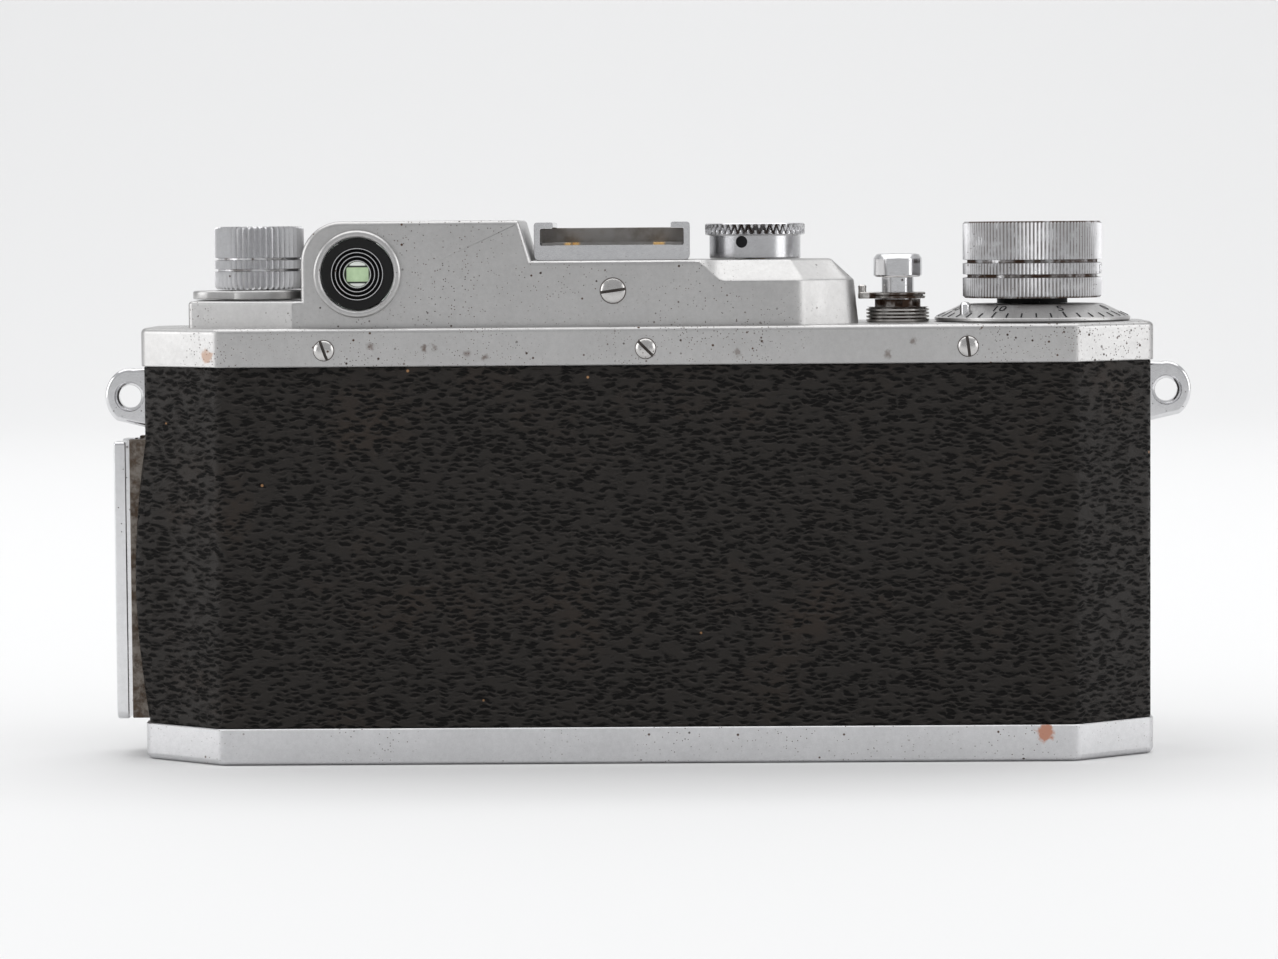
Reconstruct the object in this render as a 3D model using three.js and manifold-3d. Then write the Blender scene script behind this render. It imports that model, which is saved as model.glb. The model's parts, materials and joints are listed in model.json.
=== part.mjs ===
// A 35 mm rangefinder camera of the bottom-loading kind, as an assembly of its separate pieces.
// Units are millimetres. Frame: +X to the photographer's right, +Y forward along the lens axis, +Z up.
// The origin is the middle of the base plate's underside.
import * as THREE from "three";
import { mergeVertices } from "three/addons/utils/BufferGeometryUtils.js";
import Module from "manifold-3d";

const wasm = await Module();
wasm.setup();

// ---------------------------------------------------------------- driving dimensions
// Body: an octagon in plan.
const BODY_WIDTH = 140;
const BODY_DEPTH = 31.3;
const CORNER_X = 11.4; // cut-off corners, along X and along Y
const CORNER_Y = 8.7;
const BASE_HEIGHT = 5.05; // skirt of the base plate
const COVER_HEIGHT = 49.55; // leather band between base plate and top plate
const TOP_HEIGHT = 5.3; // skirt of the top plate
const PLATE_THICKNESS = 1.2; // flat of the base plate and of the top plate
const SKIRT_WALL = 0.95;
const LEATHER_THICKNESS = 0.7;
const LEATHER_INSET = 0.35; // how far the leather lies inside the plates' outline
const SHELL_WALL = 1.5;

// Clearances.
const SEAT_GAP = 0.1; // between faces of pieces that move apart
const RUNNING_GAP = 0.1; // radial, round a shaft
const WIDE_GAP = 0.3; // radial, round rings and large discs
const SLIP_GAP = 0.15; // between pieces that only pass each other

// Shafts and the winding train of three gears.
const SHAFT_RADIUS = 1.5;
const GEAR_MODULE = 0.75;
const TOOTH_ROOT = 0.3; // half widths, as shares of the pitch
const TOOTH_TIP = 0.11;
const TOOTH_HEIGHT = 0.7 * GEAR_MODULE;
const TOOTH_DEPTH = 0.95 * GEAR_MODULE;
const WIND_TEETH = 25;
const SPROCKET_TEETH = 25;
const DRUM_TEETH = 28;
const GEAR_THICKNESS = 1.5;
const WIND_INSET = 16.2; // wind axis from the right end of the body
const REWIND_INSET = 15.9; // rewind axis from the left end
const BEARING_DROP = 1; // shaft ends below the shutter crate
const SHAFT_TOP_COVER = 2; // knob left above a shaft's end
const KNOB_BORE_COVER = 1.9;

// Knobs, dials, levers and the release.
const WIND_KNOB_RADIUS = 9.65;
const WIND_KNOB_HEIGHT = 10.6;
const COLLAR_STEP = 0.75; // black collar under the wind knob
const COUNTER_RIM_RADIUS = 13.6;
const COUNTER_TOP_RADIUS = 9.8;
const COUNTER_HEIGHT = 2.3;
const COUNTER_RIM_HEIGHT = 0.55;
const COUNTER_PIN_RADIUS = 0.75;
const COUNTER_PIN_SEAT = 0.4;
const REWIND_KNOB_RADIUS = 6.2;
const REWIND_KNOB_HEIGHT = 8.7;
const KNOB_GROOVE = 0.5;
const KNOB_GROOVE_DEPTH = 0.6;
const WIND_KNOB_GROOVES = [2.75, 4.75]; // above the knob's underside
const REWIND_KNOB_GROOVES = [2.5, 4];
const SELECTOR_THICKNESS = 1.25;
const SELECTOR_HUB = 6.4;
const SELECTOR_REACH = 9.15;
const SELECTOR_TAB = 2.6; // half the tab's width
const SPEED_DIAL_RADIUS = 6.95;
const SPEED_DRUM_RADIUS = 6.35;
const SPEED_DIAL_HEIGHT = 4.85;
const SPEED_RIM_HEIGHT = 1.6;
const SPEED_BUSH_RADIUS = 2.9;
const SPEED_BUSH_HEIGHT = 1.8;
const SPEED_SHAFT_COVER = 0.8;
const BUTTON_RADIUS = 3.4;
const BUTTON_HEIGHT = 3.25;
const BUTTON_STEM = 2.25;
const BUTTON_TRAVEL = 2;
const BUTTON_CHAMFER = 0.6;
const CABLE_HOLE = 0.7; // radius and depth of the cable release's hole
const CABLE_HOLE_DEPTH = 2;
const STEM_DROP = 0.5; // button's stem below the top plate's flat
const THREAD_COLLAR_RADIUS = 4.4;
const THREAD_COLLAR_HEIGHT = 2.1;
const COLLAR_NECK_RADIUS = 3.2;
const COLLAR_NECK_HEIGHT = 1.05;
const REVERSING_LEVER_RADIUS = 3.85;
const REVERSING_LEVER_THICKNESS = 0.9;
const REVERSING_ARM = 1.1; // half the arm's width
const REVERSING_GRIP = 0.6;
const REVERSING_GRIP_HEIGHT = 1;
const SLOW_DIAL_RADIUS = 6.2;
const SLOW_DIAL_THICKNESS = 3.9;
const SLOW_DIAL_CHAMFER = 1;
const SLOW_DIAL_GAP = 2.2; // to the lens mount
const SLOW_DIAL_RISE = 9; // above the lens axis
const SPINDLE_END = 1.5; // spindle and arm pivot behind the front wall

// Finder housing.
const HOUSING_INSET = 2.15; // back and front faces, inside the plates' outline
const HOUSING_WALL = 1.3;
const LOWER_DECK = 3.65; // deck heights above the top plate
const STEP_DECK = 6.05;
const MIDDLE_DECK = 8.9;
const HUMP_HEIGHT = 14.5;
const HUMP_CORNER = 5.5;
const HUMP_SLANT = 1.75;
const DECK_BEVEL = 3;
const HOUSING_CORNER_X = 15; // cut-off corners at the rewind end
const HOUSING_CORNER_Y = 6;
const HOUSING_ROUND = 8.6; // rounded corners at the release end
const HUMP_LENGTH = 31.6;
const KNOB_CLEARANCE = 0.8; // between the rewind knob and the hump
const HOUSING_REACH = 14.2; // release end beyond the speed dial's axis
const HOUSING_LEAN = 0.7; // release end leans in below its bevel

// Eyepiece, windows and rangefinder optics.
const EYEPIECE_RADIUS = 5.95;
const EYEPIECE_BORE = 4.95;
const EYEPIECE_PROUD = 1.1;
const EYEPIECE_MARGIN = 1.85;
const EYE_HOLE = 1.8;
const EYE_LENS_RADIUS = 3;
const EYE_LENS_THICKNESS = 1.05;
const EYE_LENS_SEAT = 1.1;
const EYE_CONE_RADIUS = 3.5;
const EYE_CONE_DEPTH = 0.5;
const INSERT_SETBACK = 0.4;
const FINDER_HEIGHT = 7.3; // sight line above the top plate
const FINDER_WINDOW_WIDTH = 11;
const FINDER_WINDOW_HEIGHT = 8;
const RANGE_WINDOW_RADIUS = 2.4;
const RANGE_WINDOW_HEIGHT = 4.6;
const RANGE_BASE = 38.8; // rangefinder base length
const OPTIC_THICKNESS = 1;
const WINDOW_RECESS = 0.3;
const SPLITTER_SIZE = [9, 11]; // width and height
const MIRROR_SIZE = [6, 6.5];

// Accessory shoe.
const SHOE_WIDTH = 21.4;
const SHOE_LENGTH = 19.5;
const SHOE_FLOOR = 2.1;
const SHOE_HEIGHT = 5.25;
const SHOE_WALL = 0.85;
const SHOE_LIP = 1.75;
const SHOE_LIP_THICKNESS = 0.85;
const SHOE_SPRING = 0.35;
const SHOE_GAP = 0.2; // to the hump
const SHOE_STOP = 1.2;
const SPRING_STRIP = 4;
const SPRING_BRIDGE = 2.5;
const SPRING_SETBACK = 1.5;

// Screws.
const SCREW_HEAD = 1.45;
const SCREW_SHANK = 0.7;
const SCREW_DOME = 0.65;
const HOUSING_SCREW_HEAD = 1.8;
const SCREW_SPACING = 43.85;
const SCREW_DROP = 3.05; // below the top plate's flat
const SCREW_LENGTH = 2;
const SCREW_SLOT_DEPTH = 0.5;
const SCREW_SLOT_WIDTH = 0.35;
const SCREW_TURNS = [70, 45, 85]; // slots, in degrees
const HOUSING_SCREW_TURN = -5;
const HOUSING_SCREW_OFFSET = 4.6; // from the lens axis
const HOUSING_SCREW_HEIGHT = 4.8; // above the top plate

// Film works.
const FRAME_WIDTH = 36;
const FRAME_HEIGHT = 24;
const FILM_HEIGHT = 35;
const FLANGE_DISTANCE = 28.8; // lens flange to film plane
const FLANGE_PROUD = 2.55; // lens flange in front of the body's front face
const PRESSURE_PLATE = 1.3;
const FILM_GAP = 0.35;
const PRESSURE_MARGIN = 4; // plate beyond the film gate
const PRESSURE_STUD_SPACING = 12;
const PRESSURE_STUD = 2;
const SPROCKET_RADIUS = 6.05;
const SPROCKET_TOOTH = 1.1;
const SPROCKET_TOOTH_WIDTH = 1.2;
const SPROCKET_TOOTH_ROOT = 0.6; // tooth inside the drum
const PERFORATION_INSET = 2; // tooth rows from the film's edges
const SPROCKET_TOOTH_COUNT = 8;
const SPOOL_HUB = 5.5;
const SPOOL_FLANGE = 10.3;
const SPOOL_FLANGE_THICKNESS = 1.2;
const SPOOL_COLLAR = 1.5;
const CURTAIN_DRUM_RADIUS = 3.9;
const CURTAIN_ROLLER_RADIUS = 1.6;
const ROLLER_SETBACK = 5.2; // second roller's axis in front of the film
const ROLLER_GAP = 0.6;
const ROLLER_PIVOT = 0.7;
const CURTAIN_THICKNESS = 0.35;
const CURTAIN_OVERLAP = 2.5; // beyond the film gate, above and below
const CURTAIN_GAPS = [0.5, 1.4]; // closing and opening curtain from the gate's sheet
const CURTAIN_ENDS = [0.4, 0.3]; // from the rollers and from the drum
const CURTAIN_END = 5; // what shows of the opening curtain
const LATH_WIDTH = 1.2;
const LATH_EDGE = 0.2;
const REEL_MARGIN = 2; // drum and rollers from the crate's floor and roof
const DRUM_TO_AXIS = 24.2; // curtain drum to the lens axis
const CRATE_SHEET = 1;
const CRATE_CLEARANCE = 3; // crate above the leather's lower edge and behind the front wall
const CRATE_MARGIN = 6; // crate beyond the film gate, at the rollers' end
const DRUM_CLEARANCE = 2.3;
const PLATE_BAR = 1.5; // mechanism plate
const PLATE_DROP = 4.4; // its underside below the top plate's lower edge
const GEAR_LIFT = 1.2; // gears above the mechanism plate
const REWIND_PRONG = 0.9;
const REWIND_PRONG_OFFSET = 1.9;
const REWIND_PRONG_HALF = 1;
const REWIND_PRONG_LENGTH = 4.5;
const REWIND_HEAD = 3;

// Lens and its mount.
const MOUNT_RADIUS = 24.2;
const THREAD_RADIUS = 19.5;
const BARREL_RADIUS = 16.8;
const BARREL_BORE = 12.2;
const LENS_FLANGE_RADIUS = 21.6;
const LENS_FLANGE_LENGTH = 4.4;
const FOCUS_RADIUS = 23.4;
const FOCUS_LENGTH = 7.2;
const HEAD_RADIUS = 19.4;
const HEAD_LENGTH = 8.6;
const APERTURE_RING_LENGTH = 3;
const GLASS_RADIUS = 11.9;
const FOCUS_WALL = 0.4; // sleeve inside the head's radius
const LENS_THREAD_LENGTH = 3.8;
const HEAD_NECK = 1.9; // aperture ring's groove
const HEAD_LEAD = 2.8; // head behind the aperture ring
const RIM_STEP = 0.8;
const RIM_WIDTH = 2.2;
const RIM_CONE = 3.2;
const CAM_WALL = 3;
const GLASS_SETBACK = 1; // rear face in front of the head's rear face
const GLASS_THICKNESS = 3;
const GLASS_BULGE = 1.5;
const CAM_DEPTH = 7.5; // cam ring behind the flange with the lens at infinity
const TAB_REACH = 27.4;
const TAB_ANGLE = -50; // degrees from +X, below the horizontal
const TAB_THICKNESS = 5;
const TAB_WIDTH = 8;
const LOCK_BUTTON_RADIUS = 1.6;
const LOCK_BUTTON_LENGTH = 2.2;
const LOCK_BUTTON_PROUD = 0.5;
const LOCK_WELL_DEPTH = 4;
const ARM_THICKNESS = 1.2;
const ARM_REACH = 23;
const ARM_PIN = 1;
const ARM_HEIGHT = 1.5;
const ARM_TOUCH = 2.4; // finger's end inside the cam ring's outer edge
const ARM_PIN_PROUD = 0.6;

// Strap lugs and flash rail.
const LUG_HOLE = 1.6;
const LUG_RADIUS = 3.45;
const LUG_OFFSET = 2.4; // hole centre outside the body's end
const LUG_ROOT = 8;
const LUG_THICKNESS = 3;
const LUG_DROP = 4.4; // below the top plate's lower edge
const RAIL_WIDTH = 13;
const RAIL_LENGTH = 38.8;
const RAIL_SLOT = 6.6;
const RAIL_CHANNEL = 10;
const RAIL_WALL = 1.85; // base outside the body's end
const RAIL_CHANNEL_DEPTH = 1.45;
const RAIL_GROOVE = 0.5;
const RAIL_STRIP = 1.7;
const RAIL_LIFT = 0.6; // above the base plate
const RAIL_STOP = 3; // closed lower end
const RAIL_RIM_INSET = 0.4;
const RAIL_END_STEP = 0.3;
const CONTACT_RADIUS = 1.2;
const CONTACT_HEIGHT = 0.5;

// Base plate fittings.
const LOCK_RADIUS = 8;
const LOCK_FLANGE = 9.2;
const KEY_RADIUS = 6.4;
const KEY_THICKNESS = 0.85;
const KEY_RECESS = 0.35; // fittings sit this far above the underside
const KEY_FINGER_HOLE = 1.7;
const KEY_FINGER_OFFSET = 3;
const KEY_HINGE_INSET = 0.75;
const POCKET_DEPTH = 0.25; // beyond the key's thickness
const LOCK_BAR = [7.5, 1.8]; // half its length and width
const LOCK_BAR_HEIGHT = 1.5;
const FITTING_FLANGE = 0.9;
const TRIPOD_HOLE = 4.75;
const TRIPOD_BUSH = 7.2;
const TRIPOD_BUSH_HEIGHT = 6;
const TRIPOD_FLANGE = 1.2;
const TRIPOD_END = 1; // closed end over the hole

// Segment counts of round pieces.
const FINE = 32;
const MEDIUM = 20;
const COARSE = 12;

// ---------------------------------------------------------------- worked-out places
const BAND_BOTTOM = BASE_HEIGHT;
const BAND_TOP = BASE_HEIGHT + COVER_HEIGHT;
const TOP_Z = BAND_TOP + TOP_HEIGHT;
const TOP_UNDERSIDE = TOP_Z - PLATE_THICKNESS;
const END_X = BODY_WIDTH / 2;
const FACE_Y = BODY_DEPTH / 2;
const SHELL_INSET = LEATHER_INSET + LEATHER_THICKNESS + 0.05;
const INNER_INSET = SHELL_INSET + SHELL_WALL;
const SHELL_FACE = FACE_Y - SHELL_INSET;
const SHELL_END = END_X - SHELL_INSET;
const INNER_FACE = FACE_Y - INNER_INSET;
const FLANGE_Y = FACE_Y + FLANGE_PROUD;
const FILM_Y = FLANGE_Y - FLANGE_DISTANCE;
const REWIND_X = -END_X + REWIND_INSET;
const WIND_X = END_X - WIND_INSET;
const SPROCKET_X = WIND_X - (GEAR_MODULE * (WIND_TEETH + SPROCKET_TEETH)) / 2;
const DRUM_X = SPROCKET_X - (GEAR_MODULE * (SPROCKET_TEETH + DRUM_TEETH)) / 2;
const AXIS_X = DRUM_X - DRUM_TO_AXIS;
const AXIS_Z = (BAND_BOTTOM + BAND_TOP) / 2;
const FILM_BOTTOM = AXIS_Z - FILM_HEIGHT / 2;
const FILM_TOP = AXIS_Z + FILM_HEIGHT / 2;
const HOUSING_FACE = FACE_Y - HOUSING_INSET;
const HOUSING_LEFT = REWIND_X - SELECTOR_REACH;
const HOUSING_RIGHT = DRUM_X + HOUSING_REACH;
const HUMP_LEFT = REWIND_X + REWIND_KNOB_RADIUS + KNOB_CLEARANCE;
const HUMP_RIGHT = HUMP_LEFT + HUMP_LENGTH;
const HUMP_TOP = TOP_Z + HUMP_HEIGHT;
const DECK_Z = TOP_Z + MIDDLE_DECK;
const STEP_X = DRUM_X - SPEED_DRUM_RADIUS; // where the deck's bevelled part begins
const EYE_X = HUMP_LEFT + EYEPIECE_RADIUS + EYEPIECE_MARGIN;
const EYE_Z = TOP_Z + FINDER_HEIGHT;
const RANGE_X = EYE_X + RANGE_BASE;
const RANGE_Z = TOP_Z + RANGE_WINDOW_HEIGHT;
const CRATE_LEFT = AXIS_X - FRAME_WIDTH / 2 - CRATE_MARGIN;
const CRATE_RIGHT = DRUM_X + CURTAIN_DRUM_RADIUS + DRUM_CLEARANCE;
const CRATE_BOTTOM = BAND_BOTTOM + CRATE_CLEARANCE;
const CRATE_FRONT = INNER_FACE - CRATE_CLEARANCE;
const PLATE_Z = BAND_TOP - PLATE_DROP; // underside of the mechanism plate
const GEAR_Z = PLATE_Z + PLATE_BAR + GEAR_LIFT;
const BEARING_BOTTOM = CRATE_BOTTOM - BEARING_DROP;
const COUNTER_Z = TOP_Z + SEAT_GAP;
const COLLAR_Z = COUNTER_Z + COUNTER_HEIGHT + SEAT_GAP;
const WIND_KNOB_Z = COLLAR_Z + COLLAR_STEP;
const SELECTOR_Z = TOP_Z + LOWER_DECK + SLIP_GAP;
const REWIND_KNOB_Z = SELECTOR_Z + SELECTOR_THICKNESS + SLIP_GAP;
const SPEED_Z = DECK_Z + SEAT_GAP;
const NECK_Z = TOP_Z + THREAD_COLLAR_HEIGHT;
const REVERSING_Z = NECK_Z + COLLAR_NECK_HEIGHT + SEAT_GAP;
const BUTTON_Z = REVERSING_Z + REVERSING_LEVER_THICKNESS + BUTTON_TRAVEL + SEAT_GAP;
const SLOW_DIAL_X = AXIS_X + MOUNT_RADIUS + SLOW_DIAL_RADIUS + SLOW_DIAL_GAP;
const SLOW_DIAL_Z = AXIS_Z + SLOW_DIAL_RISE;
const LUG_Z = BAND_TOP - LUG_DROP;
const RAIL_BOTTOM = BAND_BOTTOM + RAIL_LIFT;
const RAIL_TOP = RAIL_BOTTOM + RAIL_LENGTH;
const RAIL_BASE_X = -END_X - RAIL_WALL;
const RAIL_STRIP_X = RAIL_BASE_X - RAIL_GROOVE;
const LENS_FRONT_Y = FLANGE_Y + LENS_FLANGE_LENGTH;
const HEAD_Y = LENS_FRONT_Y + SEAT_GAP + FOCUS_LENGTH + SEAT_GAP;
const SCREW_Z = TOP_Z - SCREW_DROP;
const HOUSING_SCREW_AT = [AXIS_X + HOUSING_SCREW_OFFSET, TOP_Z + HOUSING_SCREW_HEIGHT];
const SHOE_LEFT = HUMP_RIGHT + SHOE_GAP;
const SHOE_RIGHT = SHOE_LEFT + SHOE_WIDTH;
const SHOE_Y = [-SHOE_LENGTH / 2, SHOE_LENGTH / 2];
const ARM_PIVOT = [AXIS_X + ARM_REACH, INNER_FACE - SPINDLE_END];
const ARM_Z = [PLATE_Z - 2 * ARM_HEIGHT, PLATE_Z - ARM_HEIGHT];
const COUNTER_PIN_AT = [WIND_X - COUNTER_TOP_RADIUS, -COUNTER_RIM_RADIUS / 2];
const KEY_AXIS_Z = KEY_RECESS + KEY_THICKNESS / 2;
const FITTING_Z = PLATE_THICKNESS + SEAT_GAP; // flanges of the base plate's fittings
const APERTURE_GROOVE = HEAD_Y + HEAD_LEAD;
const BEYOND = 1; // how far a cutting tool reaches past what it cuts

// ---------------------------------------------------------------- finishes
const finish = (color, roughness, metalness) =>
  new THREE.MeshStandardMaterial({ color, roughness, metalness });
const satinChrome = finish(0xb9babd, 0.35, 1);
const brightChrome = finish(0xd6d7d9, 0.12, 1);
const castAlloy = finish(0x6a6c6f, 0.6, 0.7);
const blackEnamel = finish(0x161616, 0.45, 0.1);
const leatherette = finish(0x26221f, 0.6, 0);
const brassMetal = finish(0xb08a4a, 0.35, 1);
const steel = finish(0x9a9b9d, 0.3, 1);
const opticalGlass = finish(0xb9cfc0, 0.05, 0);
const cloth = finish(0x1b1b1c, 0.9, 0);

// ---------------------------------------------------------------- solid helpers
function solid(geometry) {
  const bare = geometry.index ? geometry.toNonIndexed() : geometry;
  bare.deleteAttribute("normal");
  bare.deleteAttribute("uv");
  const merged = mergeVertices(bare, 1e-4);
  const triVerts = new Uint32Array(merged.index.array);
  const vertProperties = merged.attributes.position.array;
  return new wasm.Manifold(new wasm.Mesh({ numProp: 3, vertProperties, triVerts }));
}

const join = (...bodies) => bodies.reduce((all, next) => all.add(next));
const cut = (body, ...tools) => tools.reduce((left, tool) => left.subtract(tool), body);

// A box between two X, two Y and two Z values.
function block([x0, x1], [y0, y1], [z0, z1]) {
  const box = new THREE.BoxGeometry(x1 - x0, y1 - y0, z1 - z0);
  return solid(box.translate((x0 + x1) / 2, (y0 + y1) / 2, (z0 + z1) / 2));
}

function extruded(outline, depth) {
  const isShape = outline instanceof THREE.Shape;
  const shape = isShape ? outline : new THREE.Shape(outline.map(([u, v]) => new THREE.Vector2(u, v)));
  return new THREE.ExtrudeGeometry(shape, { depth, bevelEnabled: false, curveSegments: 4 });
}

// Prisms: an outline in X and Y carried along Z, in X and Z carried along Y, in Y and Z along X.
const prism = (outline, [z0, z1]) => solid(extruded(outline, z1 - z0).translate(0, 0, z0));
const prismY = (outline, [y0, y1]) =>
  solid(extruded(outline, y1 - y0).rotateX(Math.PI / 2).translate(0, y1, 0));

function prismX(outline, [x0, x1]) {
  const turn = new THREE.Matrix4().makeBasis(
    new THREE.Vector3(0, 1, 0),
    new THREE.Vector3(0, 0, 1),
    new THREE.Vector3(1, 0, 0),
  );
  return solid(extruded(outline, x1 - x0).applyMatrix4(turn).translate(x0, 0, 0));
}

// Turned pieces: a profile of [radius, height] about a vertical axis, or of [radius, y] about one along Y.
const lathe = (profile, segments) =>
  new THREE.LatheGeometry(profile.map(([r, h]) => new THREE.Vector2(r, h)), segments);
const turned = ([x, y], profile, segments = FINE) =>
  solid(lathe(profile, segments).rotateX(Math.PI / 2).translate(x, y, 0));
const turnedY = ([x, z], profile, segments = FINE) => solid(lathe(profile, segments).translate(x, 0, z));
const rodProfile = (radius, [h0, h1]) => [[0, h0], [radius, h0], [radius, h1], [0, h1]];
const tubeProfile = (inner, outer, [h0, h1]) =>
  [[inner, h0], [outer, h0], [outer, h1], [inner, h1], [inner, h0]];
const rod = (at, radius, span, segments = COARSE) => turned(at, rodProfile(radius, span), segments);
const rodY = (at, radius, span, segments = COARSE) => turnedY(at, rodProfile(radius, span), segments);
const tube = (at, inner, outer, span, segments = FINE) =>
  turned(at, tubeProfile(inner, outer, span), segments);
const tubeY = (at, inner, outer, span, segments = FINE) =>
  turnedY(at, tubeProfile(inner, outer, span), segments);

// The body's octagon, moved inwards by an inset.
function octagon(inset) {
  const slope = Math.hypot(CORNER_X, CORNER_Y);
  const reach = CORNER_Y * END_X + CORNER_X * (FACE_Y - CORNER_Y) - inset * slope;
  const x = END_X - inset;
  const y = FACE_Y - inset;
  const cornerX = (reach - CORNER_X * y) / CORNER_Y;
  const cornerY = (reach - CORNER_Y * x) / CORNER_X;
  return [
    [x, -cornerY], [x, cornerY], [cornerX, y], [-cornerX, y],
    [-x, cornerY], [-x, -cornerY], [-cornerX, -y], [cornerX, -y],
  ];
}

// A spur gear with one tooth pointing along +X; its teeth leave a little backlash.
function gear([x, y], teeth, [z0, z1]) {
  const pitch = (2 * Math.PI) / teeth;
  const pitchRadius = (GEAR_MODULE * teeth) / 2;
  const corners = [
    [-TOOTH_ROOT, pitchRadius - TOOTH_DEPTH],
    [-TOOTH_TIP, pitchRadius + TOOTH_HEIGHT],
    [TOOTH_TIP, pitchRadius + TOOTH_HEIGHT],
    [TOOTH_ROOT, pitchRadius - TOOTH_DEPTH],
  ];
  const outline = [];
  for (let tooth = 0; tooth < teeth; tooth++) {
    for (const [share, radius] of corners) {
      const angle = (tooth + share) * pitch;
      outline.push([x + radius * Math.cos(angle), y + radius * Math.sin(angle)]);
    }
  }
  return cut(prism(outline, [z0, z1]), rod([x, y], SHAFT_RADIUS + RUNNING_GAP, [z0 - BEYOND, z1 + BEYOND]));
}

// ---------------------------------------------------------------- assembly
const camera = new THREE.Group();

function add(name, material, body) {
  const mesh = body.getMesh();
  const positions = new Float32Array(mesh.numVert * 3);
  for (let i = 0; i < mesh.numVert; i++) {
    const start = i * mesh.numProp;
    positions.set(mesh.vertProperties.subarray(start, start + 3), i * 3);
  }
  const geometry = new THREE.BufferGeometry();
  geometry.setAttribute("position", new THREE.BufferAttribute(positions, 3));
  geometry.setIndex(new THREE.BufferAttribute(new Uint32Array(mesh.triVerts), 1));
  geometry.computeVertexNormals();
  const piece = new THREE.Mesh(geometry, material.clone());
  piece.name = name;
  camera.add(piece);
}

const shaftHole = (x, span, radius = SHAFT_RADIUS + RUNNING_GAP) =>
  rod([x, 0], radius, [span[0] - BEYOND, span[1] + BEYOND]);

// Screws at the back of the top plate: [name, x, face y, head radius].
const backScrews = [
  ["top_screw_left", -SCREW_SPACING, SCREW_TURNS[0]],
  ["top_screw_middle", 0, SCREW_TURNS[1]],
  ["top_screw_right", SCREW_SPACING, SCREW_TURNS[2]],
];
const screwHole = (x, z, y0, y1) => rodY([x, z], SCREW_SHANK + RUNNING_GAP, [y0, y1], 8);

// ---- body shell and its leather
function bodyShell() {
  const span = [PLATE_THICKNESS + 2 * SEAT_GAP, TOP_UNDERSIDE - SEAT_GAP];
  const outer = prism(octagon(SHELL_INSET), span);
  const inner = prism(octagon(INNER_INSET), [span[0] - BEYOND, span[1] + BEYOND]);
  const lensHole = rodY([AXIS_X, AXIS_Z], THREAD_RADIUS + BEYOND, [0, FACE_Y], FINE);
  const dialHole = rodY([SLOW_DIAL_X, SLOW_DIAL_Z], SHAFT_RADIUS + RUNNING_GAP, [0, FACE_Y]);
  const screwHoles = backScrews.map(([, x]) => screwHole(x, SCREW_Z, -FACE_Y, 0));
  return cut(outer, inner, lensHole, dialHole, ...screwHoles);
}

function leatherCovering() {
  const span = [BAND_BOTTOM + SEAT_GAP / 2, BAND_TOP - SEAT_GAP / 2];
  const outer = prism(octagon(LEATHER_INSET), span);
  const inner = prism(octagon(LEATHER_INSET + LEATHER_THICKNESS), [span[0] - BEYOND, span[1] + BEYOND]);
  const lensHole = rodY([AXIS_X, AXIS_Z], MOUNT_RADIUS + SLIP_GAP, [0, FACE_Y], FINE);
  const dialHole = rodY([SLOW_DIAL_X, SLOW_DIAL_Z], SLOW_DIAL_RADIUS + WIDE_GAP, [0, FACE_Y], MEDIUM);
  const lugHole = [-LUG_THICKNESS / 2 - SLIP_GAP, LUG_THICKNESS / 2 + SLIP_GAP];
  const lugSpan = [LUG_Z - LUG_ROOT / 2 - SLIP_GAP, span[1] + BEYOND];
  const railSpan = [span[0] - BEYOND, RAIL_TOP + SLIP_GAP];
  const railHalf = RAIL_WIDTH / 2 + SLIP_GAP;
  return cut(
    outer,
    inner,
    lensHole,
    dialHole,
    block([-END_X, -SHELL_END + BEYOND], lugHole, lugSpan),
    block([SHELL_END - BEYOND, END_X], lugHole, lugSpan),
    block([-END_X, -SHELL_END + BEYOND], [-railHalf, railHalf], railSpan),
  );
}

// ---- top plate
function topPlate() {
  const outer = prism(octagon(0), [BAND_TOP, TOP_Z]);
  const inner = prism(octagon(SKIRT_WALL), [BAND_TOP - BEYOND, TOP_UNDERSIDE]);
  const span = [TOP_UNDERSIDE, TOP_Z];
  const shafts = [WIND_X, DRUM_X, REWIND_X].map((x) => shaftHole(x, span));
  const stem = shaftHole(SPROCKET_X, span, BUTTON_STEM + RUNNING_GAP);
  const screwY = [-FACE_Y - BEYOND, -FACE_Y + SCREW_LENGTH];
  const screwHoles = backScrews.map(([, x]) => screwHole(x, SCREW_Z, ...screwY));
  return cut(outer, inner, ...shafts, stem, ...screwHoles);
}

function slottedScrew([x, z], faceY, head, slotAngle) {
  const dome = [[0, -SCREW_DOME], [0.55 * head, -0.9 * SCREW_DOME], [head, -0.25 * SCREW_DOME], [head, 0]];
  const shank = [[SCREW_SHANK, 0], [SCREW_SHANK, SCREW_LENGTH], [0, SCREW_LENGTH]];
  const profile = [...dome, ...shank].map(([r, y]) => [r, faceY + y]);
  const slot = new THREE.BoxGeometry(2 * head + BEYOND, SCREW_SLOT_DEPTH, SCREW_SLOT_WIDTH);
  slot.rotateY(THREE.MathUtils.degToRad(slotAngle));
  const slotY = faceY - SCREW_DOME;
  return cut(turnedY([x, z], profile, COARSE), solid(slot.translate(x, slotY, z)));
}

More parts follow.
